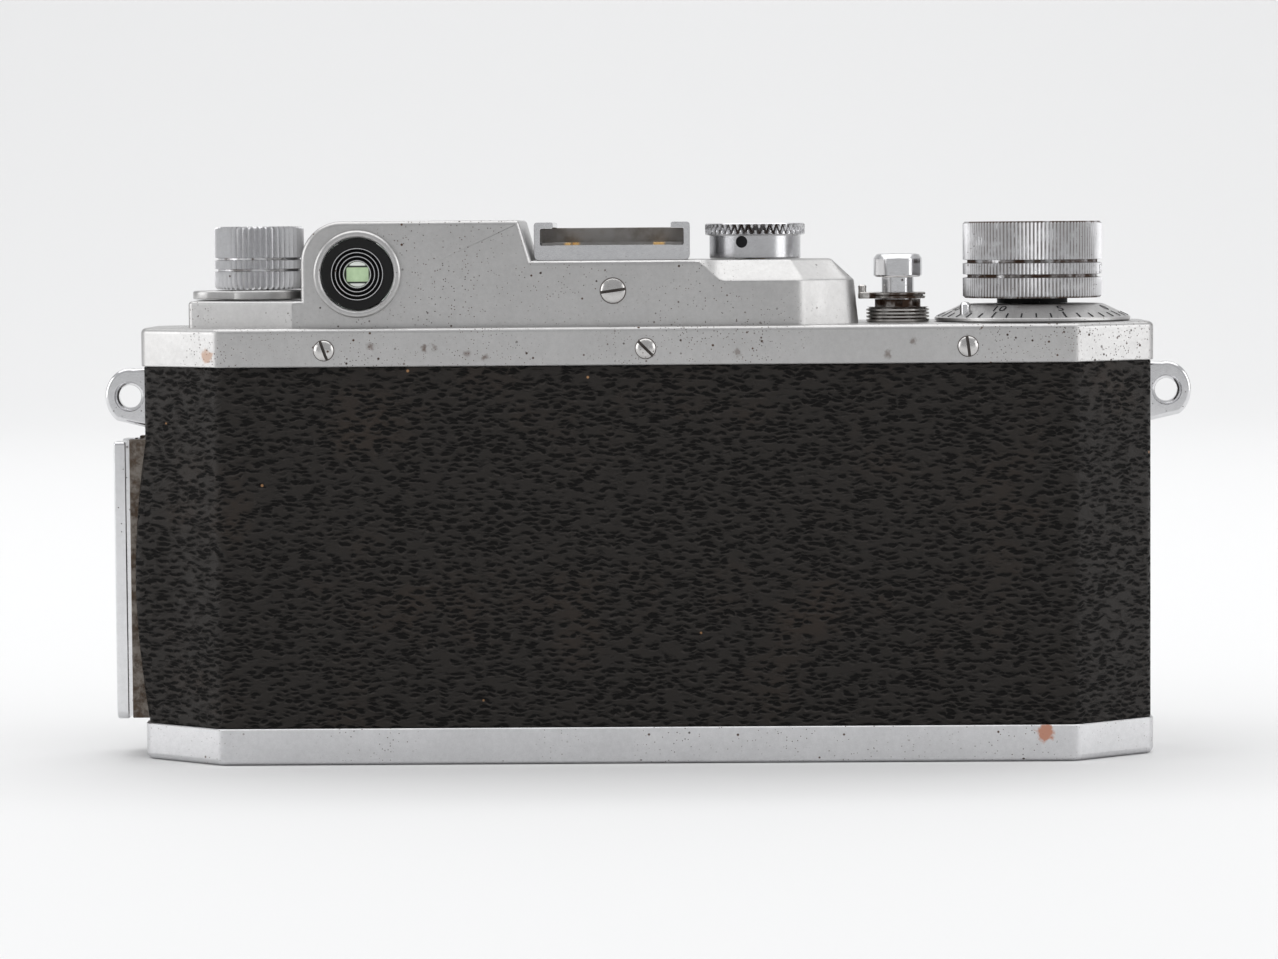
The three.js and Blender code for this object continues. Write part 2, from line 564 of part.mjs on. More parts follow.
// ---- finder housing: lower deck round the rewind knob, hump, shoe deck and speed-dial deck
function housingOutline(inset) {
  const left = HOUSING_LEFT + inset;
  const right = HOUSING_RIGHT - inset;
  const face = HOUSING_FACE - inset;
  const cornerX = HOUSING_CORNER_X - inset / 2;
  const cornerY = HOUSING_CORNER_Y - inset / 2;
  const round = HOUSING_ROUND - inset;
  const shape = new THREE.Shape();
  shape.moveTo(left, -face + cornerY);
  shape.lineTo(left + cornerX, -face);
  shape.lineTo(right - round, -face);
  shape.absarc(right - round, -face + round, round, -Math.PI / 2, 0, false);
  shape.lineTo(right, face - round);
  shape.absarc(right - round, face - round, round, 0, Math.PI / 2, false);
  shape.lineTo(left + cornerX, face);
  shape.lineTo(left, face - cornerY);
  return shape;
}

function humpOutline(inset) {
  const left = HUMP_LEFT + inset;
  const top = HUMP_TOP - inset;
  const corner = HUMP_CORNER - inset;
  const shape = new THREE.Shape();
  shape.moveTo(left, TOP_Z - inset);
  shape.lineTo(HUMP_RIGHT - inset, TOP_Z - inset);
  shape.lineTo(HUMP_RIGHT - inset, DECK_Z);
  shape.lineTo(HUMP_RIGHT - HUMP_SLANT - inset, top);
  shape.lineTo(left + corner, top);
  shape.absarc(left + corner, top - corner, corner, Math.PI / 2, Math.PI, false);
  return shape;
}

function housingSolid(inset) {
  const face = HOUSING_FACE - inset;
  const floor = TOP_Z - (inset > 0 ? BEYOND : 0);
  const deckTop = DECK_Z - inset;
  const stepTop = TOP_Z + STEP_DECK - inset;
  const lower = prism(housingOutline(inset), [floor, TOP_Z + LOWER_DECK - inset]);
  const rest = prism(housingOutline(inset), [floor, deckTop]);
  const middle = rest.intersect(
    block([HUMP_LEFT + inset, HOUSING_RIGHT], [-FACE_Y, FACE_Y], [floor, deckTop]),
  );
  const wedge = (side) =>
    prismX(
      [
        [side * face, stepTop],
        [side * (face + BEYOND), stepTop],
        [side * (face + BEYOND), deckTop + BEYOND],
        [side * (face - DECK_BEVEL), deckTop + BEYOND],
        [side * (face - DECK_BEVEL), deckTop],
      ],
      [STEP_X, HOUSING_RIGHT + BEYOND],
    );
  const right = HOUSING_RIGHT - inset;
  const endWedge = prismY(
    [
      [right - HOUSING_LEAN, stepTop],
      [right + BEYOND, stepTop],
      [right + BEYOND, deckTop + BEYOND],
      [right - HOUSING_LEAN - DECK_BEVEL, deckTop + BEYOND],
      [right - HOUSING_LEAN - DECK_BEVEL, deckTop],
    ],
    [-FACE_Y, FACE_Y],
  );
  const hump = prismY(humpOutline(inset), [-face, face]);
  return join(lower, cut(middle, wedge(1), wedge(-1), endWedge), hump);
}

function finderHousing() {
  const wall = [-HOUSING_FACE - BEYOND, -HOUSING_FACE + HOUSING_WALL + BEYOND];
  const frontWall = [-wall[1], -wall[0]];
  const halfWidth = FINDER_WINDOW_WIDTH / 2 + RUNNING_GAP;
  const halfHeight = FINDER_WINDOW_HEIGHT / 2 + RUNNING_GAP;
  return cut(
    housingSolid(0),
    housingSolid(HOUSING_WALL),
    rodY([EYE_X, EYE_Z], EYEPIECE_BORE, wall, MEDIUM),
    block([EYE_X - halfWidth, EYE_X + halfWidth], frontWall, [EYE_Z - halfHeight, EYE_Z + halfHeight]),
    rodY([RANGE_X, RANGE_Z], RANGE_WINDOW_RADIUS + RUNNING_GAP, frontWall, COARSE),
    screwHole(...HOUSING_SCREW_AT, ...wall),
    shaftHole(REWIND_X, [TOP_Z, REWIND_KNOB_Z]),
    shaftHole(DRUM_X, [TOP_Z, SPEED_Z]),
  );
}

function eyepieceRing() {
  const back = -HOUSING_FACE - EYEPIECE_PROUD;
  return tubeY([EYE_X, EYE_Z], EYEPIECE_BORE, EYEPIECE_RADIUS, [back, -HOUSING_FACE], MEDIUM);
}

function eyepieceInsert() {
  const back = -HOUSING_FACE - EYEPIECE_PROUD + INSERT_SETBACK;
  const front = -HOUSING_FACE + HOUSING_WALL;
  const lensSeat = front - EYE_LENS_SEAT;
  const outer = EYEPIECE_BORE - RUNNING_GAP;
  const profile = [
    [EYE_HOLE, back + EYE_CONE_DEPTH],
    [EYE_CONE_RADIUS, back],
    [outer, back],
    [outer, front],
    [EYE_LENS_RADIUS + RUNNING_GAP, front],
    [EYE_LENS_RADIUS + RUNNING_GAP, lensSeat],
    [EYE_HOLE, lensSeat],
    [EYE_HOLE, back + EYE_CONE_DEPTH],
  ];
  return turnedY([EYE_X, EYE_Z], profile, MEDIUM);
}

const eyepieceLens = () => {
  const front = -HOUSING_FACE + HOUSING_WALL;
  return rodY([EYE_X, EYE_Z], EYE_LENS_RADIUS, [front - EYE_LENS_THICKNESS, front]);
};

function finderWindow() {
  const x = [EYE_X - FINDER_WINDOW_WIDTH / 2, EYE_X + FINDER_WINDOW_WIDTH / 2];
  const z = [EYE_Z - FINDER_WINDOW_HEIGHT / 2, EYE_Z + FINDER_WINDOW_HEIGHT / 2];
  return block(x, [HOUSING_FACE - HOUSING_WALL, HOUSING_FACE - WINDOW_RECESS], z);
}

const rangefinderWindow = () =>
  rodY([RANGE_X, RANGE_Z], RANGE_WINDOW_RADIUS, [HOUSING_FACE - HOUSING_WALL, HOUSING_FACE - WINDOW_RECESS]);

// A mirror standing at 45 degrees on the top plate, behind a window.
function mirrorPlate(x, [width, height]) {
  const plate = new THREE.BoxGeometry(width, OPTIC_THICKNESS, height);
  return solid(plate.rotateZ(Math.PI / 4).translate(x, HOUSING_FACE / 2, TOP_Z + height / 2));
}

// ---- accessory shoe on the middle deck
function accessoryShoe() {
  const floor = DECK_Z + SHOE_FLOOR;
  const lipBottom = DECK_Z + SHOE_HEIGHT - SHOE_LIP_THICKNESS;
  const top = DECK_Z + SHOE_HEIGHT;
  const stop = block([SHOE_LEFT, SHOE_RIGHT], [SHOE_Y[1] - SHOE_STOP, SHOE_Y[1]], [DECK_Z, lipBottom]);
  const outline = [
    [SHOE_LEFT, DECK_Z],
    [SHOE_RIGHT, DECK_Z],
    [SHOE_RIGHT, top],
    [SHOE_RIGHT - SHOE_WALL - SHOE_LIP, top],
    [SHOE_RIGHT - SHOE_WALL - SHOE_LIP, lipBottom],
    [SHOE_RIGHT - SHOE_WALL, lipBottom],
    [SHOE_RIGHT - SHOE_WALL, floor],
    [SHOE_LEFT + SHOE_WALL, floor],
    [SHOE_LEFT + SHOE_WALL, lipBottom],
    [SHOE_LEFT + SHOE_WALL + SHOE_LIP, lipBottom],
    [SHOE_LEFT + SHOE_WALL + SHOE_LIP, top],
    [SHOE_LEFT, top],
  ];
  return join(prismY(outline, SHOE_Y), stop);
}

// The shoe's leaf spring: two strips along the sides, joined at the front.
function shoeSpring() {
  const z = [DECK_Z + SHOE_FLOOR, DECK_Z + SHOE_FLOOR + SHOE_SPRING];
  const y = [SHOE_Y[0] + SPRING_SETBACK, SHOE_Y[1] - SHOE_STOP - SEAT_GAP];
  const left = SHOE_LEFT + SHOE_WALL + SLIP_GAP;
  const right = SHOE_RIGHT - SHOE_WALL - SLIP_GAP;
  return cut(
    block([left, right], y, z),
    block(
      [left + SPRING_STRIP, right - SPRING_STRIP],
      [y[0] - BEYOND, y[1] - SPRING_BRIDGE],
      [z[0] - BEYOND, z[1] + BEYOND],
    ),
  );
}

// ---- strap lugs and flash rail
function strapLug(side) {
  const root = side * SHELL_END;
  const eye = side * (END_X + LUG_OFFSET);
  const half = LUG_THICKNESS / 2;
  const ear = rodY([eye, LUG_Z], LUG_RADIUS, [-half, half], MEDIUM);
  const reach = Math.hypot(eye - root, LUG_ROOT / 2);
  const lift = Math.acos(LUG_RADIUS / reach);
  const tangent = Math.atan2(LUG_ROOT / 2, Math.abs(eye - root));
  const angle = Math.PI - tangent - lift;
  const touch = [eye - side * LUG_RADIUS * Math.cos(Math.PI - angle), LUG_RADIUS * Math.sin(angle)];
  const web = [
    [root, LUG_Z - LUG_ROOT / 2],
    [touch[0], LUG_Z - touch[1]],
    [touch[0], LUG_Z + touch[1]],
    [root, LUG_Z + LUG_ROOT / 2],
  ];
  const outline = side > 0 ? web : web.reverse();
  const hole = rodY([eye, LUG_Z], LUG_HOLE, [-half - BEYOND, half + BEYOND]);
  return cut(join(prismY(outline, [-half, half]), ear), hole);
}

function flashRailBase() {
  const half = RAIL_WIDTH / 2;
  const channel = RAIL_CHANNEL / 2;
  const base = block([RAIL_BASE_X, -SHELL_END], [-half, half], [RAIL_BOTTOM, RAIL_TOP]);
  const floor = RAIL_BASE_X + RAIL_CHANNEL_DEPTH;
  const slotZ = [RAIL_BOTTOM + RAIL_STOP, RAIL_TOP + BEYOND];
  const slot = block([RAIL_BASE_X - BEYOND, floor], [-channel, channel], slotZ);
  return cut(base, slot);
}

function flashRail() {
  const half = RAIL_WIDTH / 2;
  const slot = RAIL_SLOT / 2;
  const outer = RAIL_STRIP_X - RAIL_STRIP;
  const top = RAIL_TOP - RAIL_END_STEP;
  const strip = block([outer, RAIL_STRIP_X], [-half, half], [RAIL_BOTTOM - 2 * SEAT_GAP, top]);
  const rimHalf = half - RAIL_RIM_INSET;
  const rim = block([RAIL_STRIP_X, RAIL_BASE_X], [-rimHalf, rimHalf], [RAIL_BOTTOM + RAIL_RIM_INSET, top]);
  const opening = [RAIL_BOTTOM + RAIL_STOP + BEYOND, RAIL_TOP + BEYOND];
  const channel = RAIL_CHANNEL / 2;
  return cut(
    join(strip, rim),
    block([outer - BEYOND, RAIL_BASE_X + BEYOND], [-slot, slot], opening),
    block(
      [RAIL_STRIP_X, RAIL_BASE_X + BEYOND],
      [-channel, channel],
      [RAIL_BOTTOM + RAIL_STOP, RAIL_TOP + BEYOND],
    ),
  );
}

function flashContact() {
  const floor = RAIL_BASE_X + RAIL_CHANNEL_DEPTH;
  const stud = new THREE.CylinderGeometry(CONTACT_RADIUS, CONTACT_RADIUS, CONTACT_HEIGHT, COARSE);
  stud.rotateZ(Math.PI / 2).translate(floor - CONTACT_HEIGHT / 2, 0, RAIL_TOP - RAIL_LENGTH / 3);
  return solid(stud);
}

// ---- mechanism plate, shutter crate and curtains
const ROLLER_X = CRATE_LEFT + CRATE_SHEET + CURTAIN_ROLLER_RADIUS + WIDE_GAP;
const ROLLER_Y = FILM_Y + ROLLER_SETBACK;
const rollerPlaces = [
  [ROLLER_X, ROLLER_Y + 2 * CURTAIN_ROLLER_RADIUS + ROLLER_GAP],
  [ROLLER_X, ROLLER_Y],
];

function mechanismPlate() {
  const span = [PLATE_Z, PLATE_Z + PLATE_BAR];
  const shafts = [WIND_X, SPROCKET_X, DRUM_X, REWIND_X].map((x) => shaftHole(x, span));
  const armHole = rod(ARM_PIVOT, ARM_PIN + RUNNING_GAP, [span[0] - BEYOND, span[1] + BEYOND]);
  return cut(prism(octagon(INNER_INSET + SEAT_GAP), span), ...shafts, armHole);
}

function shutterCrate() {
  const outer = block([CRATE_LEFT, CRATE_RIGHT], [FILM_Y, CRATE_FRONT], [CRATE_BOTTOM, PLATE_Z]);
  const inner = block(
    [CRATE_LEFT + CRATE_SHEET, CRATE_RIGHT - CRATE_SHEET],
    [FILM_Y + CRATE_SHEET, CRATE_FRONT - CRATE_SHEET],
    [CRATE_BOTTOM + CRATE_SHEET, PLATE_Z - CRATE_SHEET],
  );
  const gate = block(
    [AXIS_X - FRAME_WIDTH / 2, AXIS_X + FRAME_WIDTH / 2],
    [FILM_Y - BEYOND, FILM_Y + 2 * CRATE_SHEET],
    [AXIS_Z - FRAME_HEIGHT / 2, AXIS_Z + FRAME_HEIGHT / 2],
  );
  const lightHole = rodY([AXIS_X, AXIS_Z], BARREL_RADIUS + 2 * WIDE_GAP, [0, CRATE_FRONT + BEYOND], MEDIUM);
  const armSlot = block(
    [AXIS_X - 3, AXIS_X + 0.55 * ARM_REACH],
    [CRATE_FRONT - CRATE_SHEET - BEYOND, CRATE_FRONT + BEYOND],
    [AXIS_Z + 0.6 * BARREL_RADIUS, ARM_Z[1] + 2 * SEAT_GAP],
  );
  const drumHole = shaftHole(DRUM_X, [CRATE_BOTTOM, PLATE_Z]);
  const pivots = rollerPlaces.map((at) =>
    rod(at, ROLLER_PIVOT + RUNNING_GAP, [CRATE_BOTTOM - BEYOND, PLATE_Z - SEAT_GAP]));
  return cut(outer, inner, gate, lightHole, armSlot, drumHole, ...pivots);
}

function pressurePlate() {
  const halfWidth = FRAME_WIDTH / 2 + PRESSURE_MARGIN;
  const rear = -INNER_FACE;
  const z = [FILM_BOTTOM, FILM_TOP];
  const front = FILM_Y - FILM_GAP;
  const plate = block([AXIS_X - halfWidth, AXIS_X + halfWidth], [front - PRESSURE_PLATE, front], z);
  const studs = [-1, 1].map((side) =>
    rodY([AXIS_X + side * PRESSURE_STUD_SPACING, AXIS_Z], PRESSURE_STUD, [rear, front - PRESSURE_PLATE / 2]));
  return join(plate, ...studs);
}

const curtainX = [
  ROLLER_X + CURTAIN_ROLLER_RADIUS + CURTAIN_ENDS[0],
  DRUM_X - CURTAIN_DRUM_RADIUS - CURTAIN_ENDS[1],
];
const curtainHalf = FRAME_HEIGHT / 2 + CURTAIN_OVERLAP;
const curtainZ = [AXIS_Z - curtainHalf, AXIS_Z + curtainHalf];
const curtainY = CURTAIN_GAPS.map((gap) => FILM_Y + CRATE_SHEET + gap);

const closingCurtain = () =>
  block(curtainX, [curtainY[0], curtainY[0] + CURTAIN_THICKNESS], curtainZ);

// The opening curtain has run off; only the end with its stiffening lath shows.
function openingCurtain() {
  const y = [curtainY[1], curtainY[1] + CURTAIN_THICKNESS];
  const x = [curtainX[0], curtainX[0] + CURTAIN_END];
  const lath = block([x[1], x[1] + LATH_WIDTH], [y[0] - LATH_EDGE, y[1] + LATH_EDGE], curtainZ);
  return join(block(x, y, curtainZ), lath);
}

function curtainRoller(at) {
  const inside = [CRATE_BOTTOM + CRATE_SHEET + REEL_MARGIN, PLATE_Z - CRATE_SHEET - REEL_MARGIN];
  const pivot = rod(at, ROLLER_PIVOT, [CRATE_BOTTOM, PLATE_Z - 2 * SEAT_GAP]);
  return join(rod(at, CURTAIN_ROLLER_RADIUS, inside), pivot);
}

// ---- shafts, drums and spools
function curtainDrum() {
  const inside = [CRATE_BOTTOM + CRATE_SHEET + REEL_MARGIN, PLATE_Z - CRATE_SHEET - REEL_MARGIN];
  const top = SPEED_Z + SPEED_DIAL_HEIGHT - SPEED_SHAFT_COVER;
  const shaft = rod([DRUM_X, 0], SHAFT_RADIUS, [BEARING_BOTTOM, top]);
  return join(shaft, rod([DRUM_X, 0], CURTAIN_DRUM_RADIUS, inside, MEDIUM));
}

function filmSprocket() {
  const at = [SPROCKET_X, 0];
  const stemEnd = TOP_UNDERSIDE - STEM_DROP - BUTTON_TRAVEL;
  const shaft = rod(at, SHAFT_RADIUS, [BEARING_BOTTOM, stemEnd - SEAT_GAP]);
  const drum = rod(at, SPROCKET_RADIUS, [FILM_BOTTOM, FILM_TOP], MEDIUM);
  const teeth = [];
  for (const z of [FILM_BOTTOM + PERFORATION_INSET, FILM_TOP - PERFORATION_INSET]) {
    for (let i = 0; i < SPROCKET_TOOTH_COUNT; i++) {
      const length = SPROCKET_TOOTH + SPROCKET_TOOTH_ROOT;
      const tooth = new THREE.BoxGeometry(length, SPROCKET_TOOTH_WIDTH, SPROCKET_TOOTH_WIDTH);
      const turn = (i * 2 * Math.PI) / SPROCKET_TOOTH_COUNT;
      tooth.translate(SPROCKET_RADIUS + (SPROCKET_TOOTH - SPROCKET_TOOTH_ROOT) / 2, 0, 0).rotateZ(turn);
      teeth.push(solid(tooth.translate(SPROCKET_X, 0, z)));
    }
  }
  return join(shaft, drum, ...teeth);
}

function windShaft() {
  const at = [WIND_X, 0];
  const shaft = rod(at, SHAFT_RADIUS, [CRATE_BOTTOM, WIND_KNOB_Z + WIND_KNOB_HEIGHT - SHAFT_TOP_COVER]);
  return join(shaft, rod(at, COUNTER_TOP_RADIUS / 2, [COLLAR_Z, WIND_KNOB_Z], MEDIUM));
}

function takeUpSpool() {
  const flange = SPOOL_FLANGE_THICKNESS;
  const bore = SHAFT_RADIUS + RUNNING_GAP;
  const profile = [
    [bore, FILM_BOTTOM - flange],
    [SPOOL_FLANGE, FILM_BOTTOM - flange],
    [SPOOL_FLANGE, FILM_BOTTOM],
    [SPOOL_HUB, FILM_BOTTOM],
    [SPOOL_HUB, FILM_TOP],
    [SPOOL_HUB + SPOOL_COLLAR, FILM_TOP],
    [SPOOL_HUB + SPOOL_COLLAR, FILM_TOP + flange],
    [bore, FILM_TOP + flange],
    [bore, FILM_BOTTOM - flange],
  ];
  return turned([WIND_X, 0], profile, MEDIUM);
}

// ---- wind knob and frame counter
function groovedKnob(x, radius, z0, height, grooves) {
  const body = rod([x, 0], radius, [z0, z0 + height], FINE);
  const rings = grooves.map((rise) =>
    tube([x, 0], radius - KNOB_GROOVE_DEPTH, radius + BEYOND, [z0 + rise, z0 + rise + KNOB_GROOVE]));
  const bore = rod([x, 0], SHAFT_RADIUS + RUNNING_GAP, [z0 - BEYOND, z0 + height - KNOB_BORE_COVER]);
  return cut(body, ...rings, bore);
}

const windKnob = () =>
  groovedKnob(WIND_X, WIND_KNOB_RADIUS, WIND_KNOB_Z, WIND_KNOB_HEIGHT, WIND_KNOB_GROOVES);

function counterDial() {
  const bore = SHAFT_RADIUS + RUNNING_GAP;
  const top = COUNTER_Z + COUNTER_HEIGHT;
  const profile = [
    [bore, COUNTER_Z],
    [COUNTER_RIM_RADIUS, COUNTER_Z],
    [COUNTER_RIM_RADIUS, COUNTER_Z + COUNTER_RIM_HEIGHT],
    [COUNTER_TOP_RADIUS, top],
    [bore, top],
    [bore, COUNTER_Z],
  ];
  return cut(turned([WIND_X, 0], profile), counterPinTool(RUNNING_GAP));
}

function counterPinTool(gap) {
  const span = [COUNTER_Z + COUNTER_PIN_SEAT, COUNTER_Z + COUNTER_HEIGHT + gap];
  return rod(COUNTER_PIN_AT, COUNTER_PIN_RADIUS + gap, span);
}

// ---- speed dial, rewind knob, selector, release and reversing lever
function speedDialBush() {
  const inner = SHAFT_RADIUS + RUNNING_GAP;
  return tube([DRUM_X, 0], inner, SPEED_BUSH_RADIUS, [SPEED_Z, SPEED_Z + SPEED_BUSH_HEIGHT], MEDIUM);
}

function speedDial() {
  const top = SPEED_Z + SPEED_DIAL_HEIGHT;
  const rim = top - SPEED_RIM_HEIGHT;
  const socket = SPEED_BUSH_RADIUS + RUNNING_GAP;
  const socketTop = SPEED_Z + SPEED_BUSH_HEIGHT + SEAT_GAP;
  const bore = SHAFT_RADIUS + RUNNING_GAP;
  const profile = [
    [socket, SPEED_Z],
    [SPEED_DRUM_RADIUS, SPEED_Z],
    [SPEED_DRUM_RADIUS, rim],
    [SPEED_DIAL_RADIUS, rim],
    [SPEED_DIAL_RADIUS, top],
    [bore, top],
    [bore, socketTop],
    [socket, socketTop],
    [socket, SPEED_Z],
  ];
  return turned([DRUM_X, 0], profile);
}

function rewindShaft() {
  const at = [REWIND_X, 0];
  const headZ = PLATE_Z - REWIND_HEAD;
  const top = REWIND_KNOB_Z + REWIND_KNOB_HEIGHT - SHAFT_TOP_COVER;
  const shaft = rod(at, SHAFT_RADIUS, [headZ + BEYOND, top]);
  const head = rod(at, REWIND_HEAD, [headZ, PLATE_Z - SEAT_GAP], MEDIUM);
  const prongZ = [headZ + 0.5 - REWIND_PRONG_LENGTH, headZ + 0.5];
  const prongs = [-1, 1].map((side) => {
    const middle = REWIND_X + side * REWIND_PRONG_OFFSET;
    const x = [middle - REWIND_PRONG / 2, middle + REWIND_PRONG / 2];
    return block(x, [-REWIND_PRONG_HALF, REWIND_PRONG_HALF], prongZ);
  });
  return join(shaft, head, ...prongs);
}

const rewindKnob = () =>
  groovedKnob(REWIND_X, REWIND_KNOB_RADIUS, REWIND_KNOB_Z, REWIND_KNOB_HEIGHT, REWIND_KNOB_GROOVES);

function selectorLever() {
  const span = [SELECTOR_Z, SELECTOR_Z + SELECTOR_THICKNESS];
  const tabEnd = REWIND_X - SELECTOR_REACH + SELECTOR_TAB;
  const hub = rod([REWIND_X, 0], SELECTOR_HUB, span, MEDIUM);
  const tab = join(
    block([tabEnd, REWIND_X], [-SELECTOR_TAB, SELECTOR_TAB], span),
    rod([tabEnd, 0], SELECTOR_TAB, span, COARSE),
  );
  return cut(join(hub, tab), shaftHole(REWIND_X, span));
}

function releaseButton() {
  const at = [SPROCKET_X, 0];
  const top = BUTTON_Z + BUTTON_HEIGHT;
  const profile = [
    [0, TOP_UNDERSIDE - STEM_DROP],
    [BUTTON_STEM, TOP_UNDERSIDE - STEM_DROP],
    [BUTTON_STEM, BUTTON_Z],
    [BUTTON_RADIUS, BUTTON_Z],
    [BUTTON_RADIUS, top - BUTTON_CHAMFER],
    [BUTTON_RADIUS - BUTTON_CHAMFER, top],
    [CABLE_HOLE, top],
    [CABLE_HOLE, top - CABLE_HOLE_DEPTH],
    [0, top - CABLE_HOLE_DEPTH],
  ];
  return turned(at, profile, MEDIUM);
}

function releaseCollar() {
  const bore = BUTTON_STEM + RUNNING_GAP;
  const profile = [
    [bore, TOP_Z],
    [THREAD_COLLAR_RADIUS, TOP_Z],
    [THREAD_COLLAR_RADIUS, NECK_Z],
    [COLLAR_NECK_RADIUS, NECK_Z],
    [COLLAR_NECK_RADIUS, NECK_Z + COLLAR_NECK_HEIGHT],
    [bore, NECK_Z + COLLAR_NECK_HEIGHT],
    [bore, TOP_Z],
  ];
  return turned([SPROCKET_X, 0], profile, MEDIUM);
}

function reversingLever() {
  const span = [REVERSING_Z, REVERSING_Z + REVERSING_LEVER_THICKNESS];
  const end = HOUSING_RIGHT + SLIP_GAP;
  const arm = block([end, SPROCKET_X - BUTTON_RADIUS], [-REVERSING_ARM, REVERSING_ARM], span);
  const grip = [span[0], span[1] + REVERSING_GRIP_HEIGHT];
  const knob = rod([end + REVERSING_GRIP, 0], REVERSING_GRIP, grip);
  const bore = rod([SPROCKET_X, 0], BUTTON_STEM + RUNNING_GAP, [span[0] - BEYOND, span[1] + BEYOND], MEDIUM);
  return cut(join(rod([SPROCKET_X, 0], REVERSING_LEVER_RADIUS, span, MEDIUM), arm, knob), bore);
}

function slowSpeedDial() {
  const rear = SHELL_FACE + SEAT_GAP;
  const front = rear + SLOW_DIAL_THICKNESS;
  const profile = [
    [0, INNER_FACE - SPINDLE_END],
    [SHAFT_RADIUS, INNER_FACE - SPINDLE_END],
    [SHAFT_RADIUS, rear],
    [SLOW_DIAL_RADIUS, rear],
    [SLOW_DIAL_RADIUS, front - SLOW_DIAL_CHAMFER],
    [SLOW_DIAL_RADIUS - SLOW_DIAL_CHAMFER, front],
    [0, front],
  ];
  return turnedY([SLOW_DIAL_X, SLOW_DIAL_Z], profile, MEDIUM);
}

// ---- base plate with its lock and tripod bush
function basePlate() {
  const span = [-BEYOND, PLATE_THICKNESS + BEYOND];
  return cut(
    prism(octagon(0), [0, BASE_HEIGHT]),
    prism(octagon(SKIRT_WALL), [PLATE_THICKNESS, BASE_HEIGHT + BEYOND]),
    rod([REWIND_X, 0], LOCK_RADIUS + SLIP_GAP, span, FINE),
    rod([WIND_X, 0], TRIPOD_BUSH + SLIP_GAP, span, MEDIUM),
  );
}

function lockDisc() {
  const at = [REWIND_X, 0];
  const flangeTop = FITTING_Z + FITTING_FLANGE;
  const [barLength, barWidth] = LOCK_BAR;
  const barZ = [flangeTop - 0.4, flangeTop - 0.4 + LOCK_BAR_HEIGHT];
  const disc = rod(at, LOCK_RADIUS, [KEY_RECESS, flangeTop], FINE);
  const flange = rod(at, LOCK_FLANGE, [FITTING_Z, flangeTop], FINE);
  const bar = block([REWIND_X - barLength, REWIND_X + barLength], [-barWidth, barWidth], barZ);
  const pocketTop = KEY_RECESS + KEY_THICKNESS + POCKET_DEPTH;
  const pocket = rod(at, KEY_RADIUS + WIDE_GAP, [KEY_RECESS - BEYOND, pocketTop], MEDIUM);
  const reach = [REWIND_X - LOCK_FLANGE, REWIND_X + LOCK_FLANGE];
  const half = block(reach, [-KEY_THICKNESS, LOCK_FLANGE], [KEY_RECESS - BEYOND, pocketTop + BEYOND]);
  return cut(join(disc, flange, bar), pocket.intersect(half));
}

// The folding key: a half disc with a finger hole, on two stub pivots along X.
function lockKey() {
  const z = [KEY_RECESS, KEY_RECESS + KEY_THICKNESS];
  const plate = rod([REWIND_X, 0], KEY_RADIUS, z, MEDIUM);
  const past = [z[0] - BEYOND, z[1] + BEYOND];
  const half = block([REWIND_X - LOCK_RADIUS, REWIND_X + LOCK_RADIUS], [0, LOCK_RADIUS], past);
  const finger = rod([REWIND_X, KEY_FINGER_OFFSET], KEY_FINGER_HOLE, past, COARSE);
  const hingeLength = 2 * (KEY_RADIUS - KEY_HINGE_INSET);
  const barrel = new THREE.CylinderGeometry(KEY_THICKNESS / 2, KEY_THICKNESS / 2, hingeLength, COARSE);
  const hinge = solid(barrel.rotateZ(Math.PI / 2).translate(REWIND_X, 0, KEY_AXIS_Z));
  return join(cut(plate.intersect(half), finger), hinge);
}

function tripodBush() {
  const flangeZ = PLATE_THICKNESS;
  const top = TRIPOD_BUSH_HEIGHT;
  const profile = [
    [TRIPOD_HOLE, 0],
    [TRIPOD_BUSH, 0],
    [TRIPOD_BUSH, flangeZ],
    [TRIPOD_BUSH + TRIPOD_FLANGE, flangeZ],
    [TRIPOD_BUSH + TRIPOD_FLANGE, flangeZ + FITTING_FLANGE],
    [TRIPOD_BUSH, flangeZ + FITTING_FLANGE],
    [TRIPOD_BUSH, top],
    [0, top],
    [0, top - TRIPOD_END],
    [TRIPOD_HOLE, top - TRIPOD_END],
    [TRIPOD_HOLE, 0],
  ];
  return turned([WIND_X, 0], profile, MEDIUM);
}

// ---- lens mount, lens and rangefinder follower
const LENS = [AXIS_X, AXIS_Z];
const lensMountRing = () => tubeY(LENS, THREAD_RADIUS, MOUNT_RADIUS, [SHELL_FACE, FLANGE_Y]);

function lensBase() {
  const bore = BARREL_RADIUS + WIDE_GAP;
  const thread = THREAD_RADIUS - WIDE_GAP;
  const sleeve = LENS_FRONT_Y + FOCUS_LENGTH - BEYOND;
  const threadEnd = FLANGE_Y - LENS_THREAD_LENGTH;
  const guide = HEAD_RADIUS - FOCUS_WALL;
  const profile = [
    [bore, threadEnd],
    [thread, threadEnd],
    [thread, FLANGE_Y],
    [LENS_FLANGE_RADIUS, FLANGE_Y],
    [LENS_FLANGE_RADIUS, LENS_FRONT_Y],
    [guide, LENS_FRONT_Y],
    [guide, sleeve],
    [bore, sleeve],
    [bore, threadEnd],
  ];
  return turnedY(LENS, profile);
}

const TAB_TURN = THREE.MathUtils.degToRad(TAB_ANGLE);
const placeOnTab = (geometry, radius, y) =>
  geometry.rotateY(-TAB_TURN).translate(
    AXIS_X + radius * Math.cos(TAB_TURN), y, AXIS_Z + radius * Math.sin(TAB_TURN));

